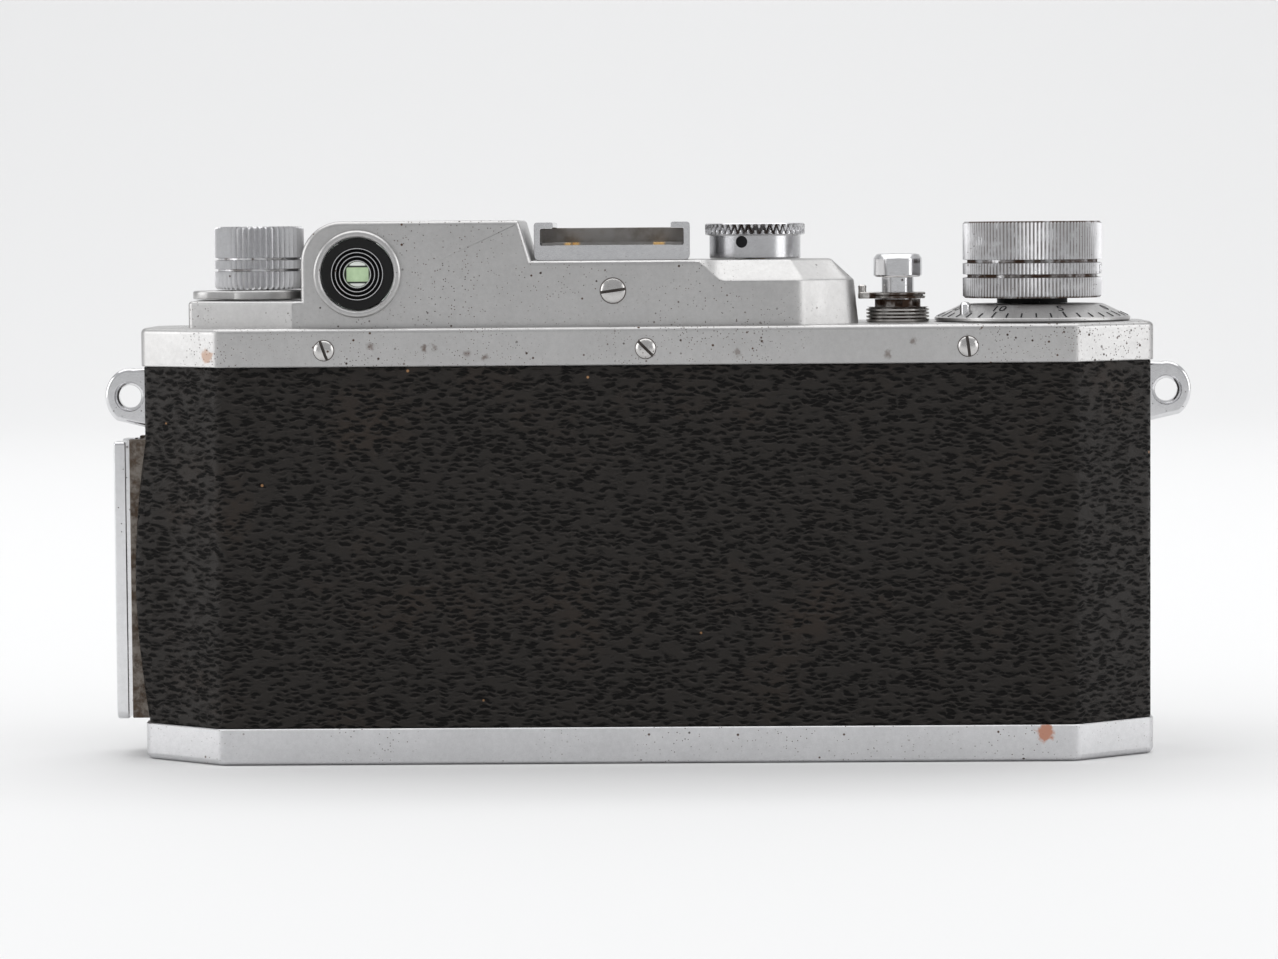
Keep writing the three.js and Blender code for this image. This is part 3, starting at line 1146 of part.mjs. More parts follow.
function focusRing() {
  const y = [LENS_FRONT_Y + SEAT_GAP, LENS_FRONT_Y + SEAT_GAP + FOCUS_LENGTH];
  const ring = tubeY(LENS, HEAD_RADIUS - FOCUS_WALL + WIDE_GAP, FOCUS_RADIUS, y);
  const tab = new THREE.BoxGeometry(TAB_REACH - FOCUS_RADIUS + 1, TAB_THICKNESS, TAB_WIDTH);
  const middle = (y[0] + y[1]) / 2;
  const placed = solid(placeOnTab(tab, (TAB_REACH + FOCUS_RADIUS - 1) / 2, middle));
  const bore = LOCK_BUTTON_RADIUS + RUNNING_GAP;
  const well = new THREE.CylinderGeometry(bore, bore, LOCK_WELL_DEPTH, COARSE);
  const hole = solid(placeOnTab(well.rotateZ(Math.PI / 2), TAB_REACH - LOCK_BUTTON_LENGTH / 2 + 0.2, middle));
  return cut(join(ring, placed), hole);
}

function infinityButton() {
  const middle = LENS_FRONT_Y + SEAT_GAP + FOCUS_LENGTH / 2;
  const radius = LOCK_BUTTON_RADIUS;
  const button = new THREE.CylinderGeometry(radius, radius, LOCK_BUTTON_LENGTH, COARSE);
  return solid(placeOnTab(button.rotateZ(Math.PI / 2), TAB_REACH + LOCK_BUTTON_PROUD, middle));
}

// The focusing barrel runs from the cam ring behind the flange to the front rim.
function lensBarrel() {
  const cam = FLANGE_Y - CAM_DEPTH;
  const camBore = BARREL_RADIUS - CAM_WALL;
  const rimY = APERTURE_GROOVE + APERTURE_RING_LENGTH + 2 * SEAT_GAP;
  const front = HEAD_Y + HEAD_LENGTH;
  const neck = HEAD_RADIUS - HEAD_NECK;
  const profile = [
    [camBore, cam],
    [BARREL_RADIUS, cam],
    [BARREL_RADIUS, HEAD_Y],
    [HEAD_RADIUS, HEAD_Y],
    [HEAD_RADIUS, APERTURE_GROOVE],
    [neck, APERTURE_GROOVE],
    [neck, rimY],
    [HEAD_RADIUS - RIM_STEP, rimY],
    [HEAD_RADIUS - RIM_STEP, front],
    [HEAD_RADIUS - RIM_WIDTH, front],
    [BARREL_BORE, front - RIM_CONE],
    [BARREL_BORE, cam + CAM_WALL],
    [camBore, cam + CAM_WALL],
    [camBore, cam],
  ];
  return turnedY(LENS, profile);
}

function apertureRing() {
  const y0 = APERTURE_GROOVE + SEAT_GAP;
  const inner = HEAD_RADIUS - HEAD_NECK + WIDE_GAP;
  return tubeY(LENS, inner, HEAD_RADIUS + FOCUS_WALL, [y0, y0 + APERTURE_RING_LENGTH]);
}

// The front lens element, with one bulged face.
function frontGlass() {
  const rear = HEAD_Y + GLASS_SETBACK;
  const rim = rear + GLASS_THICKNESS;
  const profile = [[0, rear], [GLASS_RADIUS, rear], [GLASS_RADIUS, rim]];
  const steps = 4;
  for (let i = 1; i <= steps; i++) {
    const radius = GLASS_RADIUS * (1 - i / steps);
    profile.push([radius, rim + GLASS_BULGE * (1 - (radius / GLASS_RADIUS) ** 2)]);
  }
  return turnedY(LENS, profile, MEDIUM);
}

// The rangefinder's follower: an arm on a vertical pin, with a finger behind the lens's cam ring.
function followerArm() {
  const finger = [AXIS_X, FLANGE_Y - CAM_DEPTH - SLIP_GAP - ARM_THICKNESS / 2];
  const [px, py] = ARM_PIVOT;
  const length = Math.hypot(px - finger[0], py - finger[1]);
  const turn = Math.atan2(py - finger[1], px - finger[0]);
  const bar = new THREE.BoxGeometry(length, ARM_THICKNESS, ARM_Z[1] - ARM_Z[0]);
  const middle = [(px + finger[0]) / 2, (py + finger[1]) / 2];
  const placed = solid(bar.rotateZ(turn).translate(...middle, (ARM_Z[0] + ARM_Z[1]) / 2));
  const touchZ = AXIS_Z + BARREL_RADIUS - ARM_TOUCH;
  const end = rod(finger, ARM_THICKNESS / 2, [touchZ, ARM_Z[1]]);
  const pin = rod(ARM_PIVOT, ARM_PIN, [ARM_Z[0], PLATE_Z + PLATE_BAR + ARM_PIN_PROUD]);
  return join(placed, end, pin);
}

// ---------------------------------------------------------------- the pieces
add("body_shell", castAlloy, bodyShell());
add("leather_covering", leatherette, leatherCovering());
add("top_plate", satinChrome, topPlate());
add("finder_housing", satinChrome, finderHousing());
add("eyepiece_ring", brightChrome, eyepieceRing());
add("eyepiece_insert", blackEnamel, eyepieceInsert());
add("eyepiece_lens", opticalGlass, eyepieceLens());
add("finder_window", opticalGlass, finderWindow());
add("rangefinder_window", opticalGlass, rangefinderWindow());
add("beam_splitter", opticalGlass, mirrorPlate(EYE_X, SPLITTER_SIZE));
add("rangefinder_mirror", opticalGlass, mirrorPlate(RANGE_X, MIRROR_SIZE));
add("accessory_shoe", brightChrome, accessoryShoe());
add("shoe_spring", brassMetal, shoeSpring());
for (const [name, x, turn] of backScrews) {
  add(name, brightChrome, slottedScrew([x, SCREW_Z], -FACE_Y, SCREW_HEAD, turn));
}
add("housing_screw", brightChrome,
  slottedScrew(HOUSING_SCREW_AT, -HOUSING_FACE, HOUSING_SCREW_HEAD, HOUSING_SCREW_TURN));
add("strap_lug_left", brightChrome, strapLug(-1));
add("strap_lug_right", brightChrome, strapLug(1));
add("flash_rail_base", steel, flashRailBase());
add("flash_rail", brightChrome, flashRail());
add("flash_contact", brassMetal, flashContact());
add("mechanism_plate", brassMetal, mechanismPlate());
add("shutter_crate", castAlloy, shutterCrate());
add("pressure_plate", blackEnamel, pressurePlate());
add("closing_curtain", cloth, closingCurtain());
add("opening_curtain", cloth, openingCurtain());
rollerPlaces.forEach((at, i) => add(`curtain_roller_${i + 1}`, steel, curtainRoller(at)));
add("curtain_drum", brassMetal, curtainDrum());
add("drum_gear", brassMetal, gear([DRUM_X, 0], DRUM_TEETH, [GEAR_Z, GEAR_Z + GEAR_THICKNESS]));
add("film_sprocket", brassMetal, filmSprocket());
add("sprocket_gear", brassMetal, gear([SPROCKET_X, 0], SPROCKET_TEETH, [GEAR_Z, GEAR_Z + GEAR_THICKNESS]));
add("wind_shaft", steel, windShaft());
add("wind_gear", brassMetal, gear([WIND_X, 0], WIND_TEETH, [GEAR_Z, GEAR_Z + GEAR_THICKNESS]));
add("take_up_spool", blackEnamel, takeUpSpool());
add("wind_knob", satinChrome, windKnob());
add("counter_dial", satinChrome, counterDial());
add("counter_pin", brightChrome, counterPinTool(0));
add("speed_dial_bush", brassMetal, speedDialBush());
add("speed_dial", satinChrome, speedDial());
add("rewind_shaft", steel, rewindShaft());
add("rewind_knob", brightChrome, rewindKnob());
add("selector_lever", satinChrome, selectorLever());
add("release_button", brightChrome, releaseButton());
add("release_collar", brightChrome, releaseCollar());
add("reversing_lever", brightChrome, reversingLever());
add("slow_speed_dial", satinChrome, slowSpeedDial());
add("base_plate", satinChrome, basePlate());
add("lock_disc", satinChrome, lockDisc());
add("lock_key", satinChrome, lockKey());
add("tripod_bush", brightChrome, tripodBush());
add("lens_mount_ring", brightChrome, lensMountRing());
add("lens_base", brightChrome, lensBase());
add("focus_ring", brightChrome, focusRing());
add("infinity_button", brightChrome, infinityButton());
add("lens_barrel", brightChrome, lensBarrel());
add("aperture_ring", brightChrome, apertureRing());
add("front_glass", opticalGlass, frontGlass());
add("follower_arm", steel, followerArm());

export default camera;
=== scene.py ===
import json
import math

import bmesh
import bpy
from mathutils import Matrix, Vector


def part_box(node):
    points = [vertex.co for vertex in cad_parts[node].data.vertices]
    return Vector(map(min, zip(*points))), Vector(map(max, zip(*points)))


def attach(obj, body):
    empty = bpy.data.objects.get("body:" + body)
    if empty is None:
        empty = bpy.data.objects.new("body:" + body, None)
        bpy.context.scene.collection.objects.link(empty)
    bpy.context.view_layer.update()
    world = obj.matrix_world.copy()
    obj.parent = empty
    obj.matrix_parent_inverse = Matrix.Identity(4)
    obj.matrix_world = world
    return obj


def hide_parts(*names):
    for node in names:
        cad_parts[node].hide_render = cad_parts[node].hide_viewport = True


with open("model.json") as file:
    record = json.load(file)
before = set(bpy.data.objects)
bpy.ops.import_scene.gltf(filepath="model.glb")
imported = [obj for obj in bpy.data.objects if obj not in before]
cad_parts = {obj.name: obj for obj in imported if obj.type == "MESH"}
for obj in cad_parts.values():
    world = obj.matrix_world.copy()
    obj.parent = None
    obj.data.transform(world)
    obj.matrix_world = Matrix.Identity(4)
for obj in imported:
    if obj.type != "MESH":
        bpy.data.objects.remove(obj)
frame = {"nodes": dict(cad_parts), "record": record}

# The looks of a bottom-loading 35 mm rangefinder camera, seen from behind.
# Outlines and profiles are in millimetres; a finished piece is scaled to metres.
MM = 0.001
ANGLE_LIMIT = math.radians(34)  # edges sharper than this stay sharp

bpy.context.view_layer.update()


def span(node):
    """Lowest and highest corner of a CAD node, in millimetres."""
    low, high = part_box(node)
    return Vector(low) / MM, Vector(high) / MM


def middle(node):
    low, high = span(node)
    return (low + high) / 2


BASE_HIGH = span("base_plate")[1]
TOP_LOW, TOP_HIGH = span("top_plate")
HOUSING_LOW, HOUSING_HIGH = span("finder_housing")
SHOE_LOW, SHOE_HIGH = span("accessory_shoe")
END = BASE_HIGH.x
FACE = BASE_HIGH.y
BAND_TOP = TOP_LOW.z
TOP = TOP_HIGH.z
HOUSING_FACE = HOUSING_HIGH.y
WIND_X = middle("wind_knob").x
REWIND_X = middle("rewind_knob").x
DRUM_X = middle("speed_dial").x
RELEASE_X = middle("release_collar").x
EYE = Vector((middle("eyepiece_ring").x, middle("eyepiece_ring").z))
LENS = Vector((middle("lens_mount_ring").x, middle("lens_mount_ring").z))

node_bodies = {
    node: body
    for body, nodes in frame["record"]["behaviour"]["bodies"].items()
    for node in nodes
}
node_slots = {row["node"]: row["material_slot"] for row in frame["record"]["subparts"]}


# ---- outlines
def soften(points, radius, closed=True, steps=5):
    """An outline with rounded corners; radius is one number, or one for each corner."""
    count = len(points)
    radii = radius if isinstance(radius, (list, tuple)) else [radius] * count
    path = []
    for i, size in enumerate(radii):
        corner = Vector(points[i])
        if size <= 0 or (not closed and i in (0, count - 1)):
            path.append(corner)
            continue
        before = Vector(points[i - 1]) - corner
        after = Vector(points[(i + 1) % count]) - corner
        half = before.angle(after) / 2
        reach = min(size / math.tan(half), 0.48 * before.length, 0.48 * after.length)
        bisector = (before.normalized() + after.normalized()).normalized()
        centre = corner + bisector * (reach / math.cos(half))
        start = corner + before.normalized() * reach - centre
        end = corner + after.normalized() * reach - centre
        turn = math.atan2(start.x * end.y - start.y * end.x, start.dot(end))
        for step in range(steps + 1):
            path.append(centre + Matrix.Rotation(turn * step / steps, 2) @ start)
    return path


def inset(outline, distances):
    """An anticlockwise outline moved inwards, by one distance or by one for each point."""
    count = len(outline)
    if not isinstance(distances, list):
        distances = [distances] * count
    moved = []
    for i, point in enumerate(outline):
        ahead = outline[(i + 1) % count] - point
        behind = point - outline[i - 1]
        first = Vector((-behind.y, behind.x)).normalized()
        second = Vector((-ahead.y, ahead.x)).normalized()
        moved.append(point + (first + second) * (distances[i] / (1 + first.dot(second))))
    return moved


def subdivided(outline, step):
    """The same outline with no edge longer than step."""
    dense = []
    for i, point in enumerate(outline):
        edge = outline[(i + 1) % len(outline)] - point
        pieces = max(1, math.ceil(edge.length / step))
        dense += [point + edge * (k / pieces) for k in range(pieces)]
    return dense


def arc(radius, start, end, steps, centre=(0, 0)):
    """Points on a circle from one angle to another, both included."""
    turns = [start + (end - start) * i / steps for i in range(steps + 1)]
    return [Vector((centre[0] + radius * math.cos(t), centre[1] + radius * math.sin(t)))
            for t in turns]


def rectangle(low, high):
    return [Vector((low[0], low[1])), Vector((high[0], low[1])),
            Vector((high[0], high[1])), Vector((low[0], high[1]))]


def blend_step(low, high, value):
    """0 below low, 1 above high and an S-curve between."""
    share = min(1.0, max(0.0, (value - low) / (high - low)))
    return share * share * (3 - 2 * share)


# ---- meshes
def link(thing):
    """Puts a new object in the scene."""
    bpy.context.scene.collection.objects.link(thing)
    return thing


def mesh_of(verts, faces):
    mesh = bpy.data.meshes.new("skin")
    mesh.from_pydata(verts, [], faces)
    tidy = bmesh.new()
    tidy.from_mesh(mesh)
    bmesh.ops.remove_doubles(tidy, verts=tidy.verts, dist=1e-5)
    bmesh.ops.recalc_face_normals(tidy, faces=tidy.faces)
    tidy.to_mesh(mesh)
    tidy.free()
    return mesh


def loft(rows, loop=False):
    """A skin over rows of points. Its ends are capped, or joined to each other for a loop."""
    count = len(rows[0])
    verts = [point for row in rows for point in row]
    pairs = [(k, k + 1) for k in range(len(rows) - 1)]
    faces = []
    if loop:
        pairs.append((len(rows) - 1, 0))
    else:
        faces = [tuple(range(count)), tuple(range(len(verts) - count, len(verts)))]
    for a, b in pairs:
        for i in range(count):
            j = (i + 1) % count
            faces.append((a * count + i, a * count + j, b * count + j, b * count + i))
    return mesh_of(verts, faces)


def placed(point, height, axis):
    """An outline's point at a height along an axis, in the camera's frame."""
    u, v = point
    return {"x": (height, u, v), "y": (u, height, v), "z": (u, v, height)}[axis]


def prism(outline, low, high, axis="z", edges=(0.15, 0.15), steps=4):
    """An outline carried along an axis, with its two end edges rounded."""
    rows = []
    for end, edge, side in ((low, edges[0], 1), (high, edges[1], -1)):
        turns = [math.pi / 2 * k / steps for k in range(steps + 1)] if edge else [math.pi / 2]
        ring = [
            [placed(p, end + side * edge * (1 - math.cos(t)), axis)
             for p in inset(outline, edge * (1 - math.sin(t)))]
            for t in turns
        ]
        rows += ring if side > 0 else ring[::-1]
    return loft(rows)


def box(low, high, edge=0.1):
    outline = rectangle(low, high)
    if edge:
        outline = soften(outline, 1.5 * edge, steps=3)
    return prism(outline, low[2], high[2], "z", (edge, edge), 3)


def straight_knurl(phase, height):
    """Depth of a plain knurl's valley, from 0 on a ridge to 1."""
    return abs(2 * phase - 1) ** 0.8


def lathe(profile, at, axis="z", sides=96, loop=False, teeth=0, knurls=(), depth=0.0,
          relief=straight_knurl, facets=4):
    """A turned piece about an axis. Knurls are the spans of height that carry teeth."""
    sides = teeth * facets if teeth else sides
    rows = []
    for radius, height in profile:
        valley = depth if any(low <= height <= high for low, high in knurls) else 0.0
        row = []
        for i in range(sides):
            r = radius - (valley * relief(i / facets % 1, height) if valley else 0.0)
            turn = 2 * math.pi * i / sides
            point = (at[0] + r * math.cos(turn), at[1] + r * math.sin(turn))
            row.append(placed(point, height, axis))
        rows.append(row)
    return loft(rows, loop)


def rod(at, radius, low, high, axis="z", sides=48):
    outline = arc(radius, 0, 2 * math.pi, sides, at)[:-1]
    return loft([[placed(p, h, axis) for p in outline] for h in (low, high)])


def combined(base, operation, tools):
    """The base mesh after each tool is joined to it (UNION) or cut from it (DIFFERENCE)."""
    work = link(bpy.data.objects.new("work", base))
    others = [link(bpy.data.objects.new("tool", tool)) for tool in tools]
    for other in others:
        change = work.modifiers.new("change", "BOOLEAN")
        change.operation = operation
        change.solver = "MANIFOLD"
        change.object = other
    depsgraph = bpy.context.evaluated_depsgraph_get()
    result = bpy.data.meshes.new_from_object(work.evaluated_get(depsgraph))
    for thing in [work, *others]:
        bpy.data.objects.remove(thing)
    return result


def union(base, *tools):
    return combined(base, "UNION", tools)


def cut(base, *tools):
    return combined(base, "DIFFERENCE", tools)


def joined(*meshes):
    """Several meshes as one, without changing where they meet."""
    whole = bmesh.new()
    for mesh in meshes:
        whole.from_mesh(mesh)
    result = bpy.data.meshes.new("joined")
    whole.to_mesh(result)
    whole.free()
    return result


def moved(mesh, matrix):
    mesh.transform(matrix)
    return mesh


def shift(x, y, z):
    return Matrix.Translation((x, y, z))


def spin(angle, axis="Z"):
    return Matrix.Rotation(angle, 4, axis)


# ---- finishes
class Recipe:
    """A material's node tree while it is put together. Lengths are in millimetres."""

    def __init__(self, name, surface="Object"):
        self.material = bpy.data.materials.new(name)
        self.material.use_nodes = True
        self.tree = self.material.node_tree
        self.shader = self.tree.nodes["Principled BSDF"]
        coordinates = self.node("TexCoord")
        scale = 1.0 if surface == "UV" else 1 / MM
        self.at = self.node("Mapping", {"Vector": coordinates.outputs[surface],
                                        "Scale": (scale, scale, scale)}).outputs[0]
        self.bumps = None
        self.color, self.rough, self.metal = None, None, 1.0

    def node(self, kind, inputs=None, **settings):
        made = self.tree.nodes.new("ShaderNode" + kind)
        for name, value in settings.items():
            setattr(made, name, value)
        for name, value in (inputs or {}).items():
            self.feed(made.inputs[name], value)
        return made

    def feed(self, socket, value):
        if isinstance(value, bpy.types.NodeSocket):
            self.tree.links.new(value, socket)
        else:
            socket.default_value = value

    def math(self, operation, a, b=0.0):
        return self.node("Math", {0: a, 1: b}, operation=operation).outputs[0]

    def times(self, a, b):
        return self.math("MULTIPLY", a, b)

    def inverse(self, value):
        return self.math("SUBTRACT", 1.0, value)

    def vector(self, operation, a, b):
        return self.node("VectorMath", {0: a, 1: b}, operation=operation)

    def stretched(self, x, y, z):
        return self.node("Mapping", {"Vector": self.at, "Scale": (x, y, z)}).outputs[0]

    def noise(self, scale, detail=3.0, at=None, roughness=0.55, distortion=0.0):
        """Cloudy values about 0.5; scale is features per millimetre."""
        return self.node("TexNoise", {"Vector": at or self.at, "Scale": scale, "Detail": detail,
                                      "Roughness": roughness, "Distortion": distortion}).outputs[0]

    def above(self, value, low, high):
        """0 where the value is under low, 1 over high, smooth between."""
        return self.node("MapRange", {0: value, 1: low, 2: high},
                         interpolation_type="SMOOTHSTEP").outputs[0]

    def mix(self, share, a, b):
        return self.node("Mix", {0: share, 6: a, 7: b}, data_type="RGBA").outputs[2]

    def lerp(self, share, a, b):
        return self.node("Mix", {0: share, 2: a, 3: b}, data_type="FLOAT").outputs[0]

    def pits(self, cells, size, share, where=None):
        """Scattered round spots: cells per millimetre, their size in cells and how many cells have one."""
        cell = self.node("TexVoronoi", {"Vector": self.at, "Scale": cells, "Randomness": 1.0})
        near = self.inverse(self.above(cell.outputs["Distance"], size * 0.5, size))
        chosen = self.node("SeparateColor", {"Color": cell.outputs["Color"]})
        mask = self.times(near, self.math("LESS_THAN", chosen.outputs[0], share))
        return self.times(mask, where) if where else mask

    def spot(self, centre, radius, edge=0.3, ragged=0.9):
        """A ragged patch about a point."""
        offset = self.vector("DISTANCE", self.at, centre).outputs["Value"]
        rough = self.times(self.math("SUBTRACT", self.noise(1.3, 4.0), 0.5), 2 * ragged)
        distance = self.math("ADD", offset, rough)
        return self.inverse(self.above(distance, radius - edge, radius + edge))

    def round(self, centre):
        """Distance from a vertical axis."""
        return self.vector("DISTANCE", self.stretched(1, 1, 0), (*centre, 0)).outputs["Value"]

    def part(self, axis):
        return self.node("SeparateXYZ", {0: self.at}).outputs[axis]

    def bump(self, height, depth):
        """Adds relief; depth is the height difference in millimetres between values 0 and 1."""
        inputs = {"Height": height, "Distance": depth * MM, "Strength": 1.0}
        if self.bumps:
            inputs["Normal"] = self.bumps
        self.bumps = self.node("Bump", inputs).outputs[0]

    def cover(self, share, tint, roughness, metallic):
        """Lays another surface over the one so far; share is how much of it shows."""
        self.color = self.mix(share, self.color, tint)
        self.rough = self.lerp(share, self.rough, roughness)
        self.metal = self.lerp(share, self.metal, metallic)

    def finish(self, color, roughness, metallic=0.0, **more):
        values = {"Base Color": color, "Roughness": roughness, "Metallic": metallic, **more}
        if self.bumps:
            values["Normal"] = self.bumps
        for name, value in values.items():
            self.feed(self.shader.inputs[name], value)
        return self.material


RUST = (0.075, 0.032, 0.014, 1)
DIRT = (0.030, 0.018, 0.011, 1)
COPPER = (0.52, 0.22, 0.13, 1)
PIT_DEPTH = 0.04
LEVEL = 0.7  # a surface whose normal's z is above this lies too flat to hold dirt


def plated(name, tone, gloss, grain, pitting, marks=(), knurl=None, seat=None):
    """Chrome plate: satin or bright, with pits and worn spots.

    A knurl gets dirt in its valleys: its axis, the valleys' radius, how much is dirty and
    the height that the dirt starts at. A screw gets dirt behind the plane y = seat.
    """
    r = Recipe(name)
    clouds = r.noise(0.12, 4.0)
    fine = r.noise(5.5, 2.0)
    mottle = r.times(r.lerp(r.noise(1.5, 4.0, roughness=0.7), 0.86, 1.14), r.lerp(clouds, 0.90, 1.08))
    shade = r.times(mottle, r.lerp(fine, 0.94, 1.06))
    grey = r.node("CombineXYZ", {0: shade, 1: shade, 2: shade}).outputs[0]
    r.color = r.vector("MULTIPLY", tone, grey).outputs[0]
    r.rough = r.lerp(r.noise(0.35, 5.0), gloss * 0.78, gloss * 1.25)
    r.bump(fine, grain)
    crowd = r.above(r.noise(0.055, 3.0), 0.42, 0.62)
    small = r.pits(2.6, 0.26, 0.20 * pitting, crowd)
    large = r.pits(0.9, 0.20, 0.12 * pitting, r.above(r.noise(0.11, 2.0), 0.46, 0.56))
    pit = r.math("MAXIMUM", small, large)
    r.cover(pit, r.mix(r.above(r.noise(0.35), 0.4, 0.6), RUST, DIRT), 0.85, 0.1)
    r.bump(r.inverse(pit), PIT_DEPTH)
    if knurl:
        axis, valley, dirty, start = knurl
        deep = r.inverse(r.above(r.round(axis), valley - 0.22, valley - 0.04))
        deep = r.times(deep, r.math("GREATER_THAN", r.part(2), start))
        facing = r.node("SeparateXYZ", {0: r.node("NewGeometry").outputs["Normal"]}).outputs[2]
        deep = r.times(deep, r.math("LESS_THAN", facing, LEVEL))
        patches = r.above(r.noise(0.5, 4.0), 0.62 - 0.4 * dirty, 0.75 - 0.2 * dirty)
        r.cover(r.times(deep, patches), r.mix(r.noise(0.9), RUST, DIRT), 0.8, 0.15)
    if seat is not None:
        low = r.times(r.above(r.part(1), seat - 0.06, seat), r.lerp(r.noise(0.6), 0.75, 1.0))
        r.cover(low, DIRT, 0.9, 0.1)
    for centre, radius, tint, strength in marks:
        r.cover(r.times(r.spot(centre, radius), strength), tint, 0.6, 0.35)
    return r.finish(r.color, r.rough, r.metal)


def leather():
    """Embossed covering: short wavy ridges run along the body, with painted shade in the slits between them
    and a painted highlight on the ridges' upper edges.
    """
    dark, pale = (0.0105, 0.0090, 0.0079, 1), (0.0225, 0.0187, 0.0160, 1)
    # gap is the near-black colour of the painted shade in the slits.
    brown, gap = (0.038, 0.024, 0.016, 1), (0.0036, 0.0031, 0.0028, 1)
    ridge_highlight_tone, fleck = (0.040, 0.034, 0.030, 1), (0.35, 0.19, 0.09, 1)
    r = Recipe("leather", "UV")
    waves = r.node("TexNoise", {"Vector": r.at, "Scale": 0.55, "Detail": 2.0}).outputs["Color"]
    drift = r.vector("SUBTRACT", waves, (0.5, 0.5, 0.5)).outputs[0]
    shifted = r.node("VectorMath", {0: drift, 1: (1.6, 1.1, 0.0), 2: r.at},
                     operation="MULTIPLY_ADD").outputs[0]
    flow = r.node("Mapping", {"Vector": shifted, "Rotation": (0, 0, 0.09),
                              "Scale": (0.66, 1.95, 1)}).outputs[0]
    fine = r.noise(3.4, 3.0, flow, 0.6)
    rough_edge = r.times(r.math("SUBTRACT", fine, 0.5), 0.22)

    def height(lift):
        """The ridges' relief, or with a lift the same relief a little further down."""
        place = r.vector("ADD", flow, (0, lift, 0)).outputs[0]
        cells = r.node("TexVoronoi", {"Vector": place, "Scale": 1.0, "Randomness": 1.0})
        return r.above(r.math("ADD", cells.outputs["Distance"], rough_edge), 0.20, 0.70)

    ridge = height(0.0)
    # Painted highlight: where the relief falls away just above, the ridges' upper slopes get a paler colour,
    # as if lit from above.
    painted_ridge_highlight = r.above(r.math("SUBTRACT", ridge, height(0.22)), 0.05, 0.55)
    slit = r.inverse(r.above(ridge, 0.15, 0.75))
    wear = r.above(r.noise(0.07, 4.0), 0.5, 0.75)
    color = r.mix(fine, dark, pale)
    color = r.mix(r.times(wear, 0.4), color, brown)
    # Painted shade: the slits between the ridges take the near-black gap colour.
    color = r.mix(slit, color, gap)
    color = r.mix(r.times(painted_ridge_highlight, 0.8), color, ridge_highlight_tone)
    color = r.mix(r.pits(0.20, 0.05, 0.25), color, fleck)
    r.bump(ridge, 0.34)
    r.bump(fine, 0.10)
    rough = r.lerp(slit, r.lerp(fine, 0.36, 0.52), 0.9)
    return r.finish(color, rough, 0.0, **{"Specular IOR Level": 0.22})


def rusty_steel():
    steel, dark_rust, pale_rust = (0.20, 0.18, 0.16, 1), (0.030, 0.018, 0.011, 1), (0.10, 0.065, 0.040, 1)
    r = Recipe("rusty_steel")
    patches = r.above(r.noise(0.7, 5.0, roughness=0.7), 0.36, 0.66)
    color = r.mix(patches, steel, r.mix(r.noise(1.8, 4.0), dark_rust, pale_rust))
    r.bump(r.noise(2.6, 4.0), 0.09)
    return r.finish(color, r.lerp(patches, 0.38, 0.9), r.lerp(patches, 0.9, 0.1))


def plain_metal(name, tone, darker, gloss, lines=0.0):
    """Turned or cast metal, with a cloudy tone and fine tool marks."""
    r = Recipe(name)
    streaks = r.noise(1.0, 3.0, r.stretched(0.5, 0.5, 9.0))
    tarnish = r.above(r.noise(0.3, 5.0), 0.4, 0.75)
    r.bump(streaks, 0.02 + lines)
    r.bump(r.noise(4.0, 3.0), 0.02)
    return r.finish(r.mix(tarnish, tone, darker), r.lerp(streaks, gloss * 0.8, gloss * 1.3), 1.0)


def spring_steel():
    """The shoe's spring: grey, with painted highlights in brass at two short places along it."""
    pale, dark, brass = (0.34, 0.33, 0.32, 1), (0.22, 0.21, 0.20, 1), (0.80, 0.52, 0.22, 1)
    r = Recipe("spring_steel")
    away = [r.math("ABSOLUTE", r.math("SUBTRACT", r.part(0), x)) for x in SPRING_HIGHLIGHTS]
    # Painted highlight: brass colour and a glossier finish within about a millimetre of two places, grey
    # elsewhere.
    brass_highlight = r.inverse(r.times(*[r.above(distance, 0.5, 1.1) for distance in away]))
    r.bump(r.noise(3.0, 3.0), 0.02)
    color = r.mix(brass_highlight, r.mix(r.noise(0.8), pale, dark), brass)
    return r.finish(color, r.lerp(brass_highlight, 0.4, 0.25), 1.0)


def enamel(name, tone, gloss):
    """Matt black paint or ink, a little uneven, with dust on it."""
    dust_tone = (0.28, 0.27, 0.25, 1)
    r = Recipe(name)
    dust = r.pits(1.6, 0.12, 0.06)
    paler = tuple(1.6 * c for c in tone[:3]) + (1,)
    color = r.mix(dust, r.mix(r.noise(0.7, 4.0), tone, paler), dust_tone)
    r.bump(r.noise(2.5, 3.0), 0.02)
    rough = r.lerp(r.noise(1.1, 4.0), gloss * 0.8, gloss * 1.3)
    return r.finish(color, rough, 0.0, **{"Specular IOR Level": 0.2})


def cloth():
    """Rubberised shutter cloth with a plain weave."""
    dark, pale, threads = (0.012, 0.012, 0.012, 1), (0.028, 0.027, 0.026, 1), 1.6
    r = Recipe("shutter_cloth")
    waves = [r.node("TexWave", {"Vector": r.at, "Scale": threads}, bands_direction=way).outputs["Fac"]
             for way in "XZ"]
    weave = r.times(*waves)
    r.bump(weave, 0.05)
    return r.finish(r.mix(r.noise(0.4, 4.0), dark, pale), r.lerp(weave, 0.75, 0.95))


def coated_glass(name, tint):
    """Clear glass with faint dust."""
    r = Recipe(name)
    dust = r.above(r.noise(3.0, 5.0), 0.62, 0.8)
    color = r.mix(r.times(dust, 0.4), tint, (0.7, 0.7, 0.68, 1))
    return r.finish(color, r.lerp(dust, 0.02, 0.25), 0.0, **{"Transmission Weight": 1.0, "IOR": 1.5})


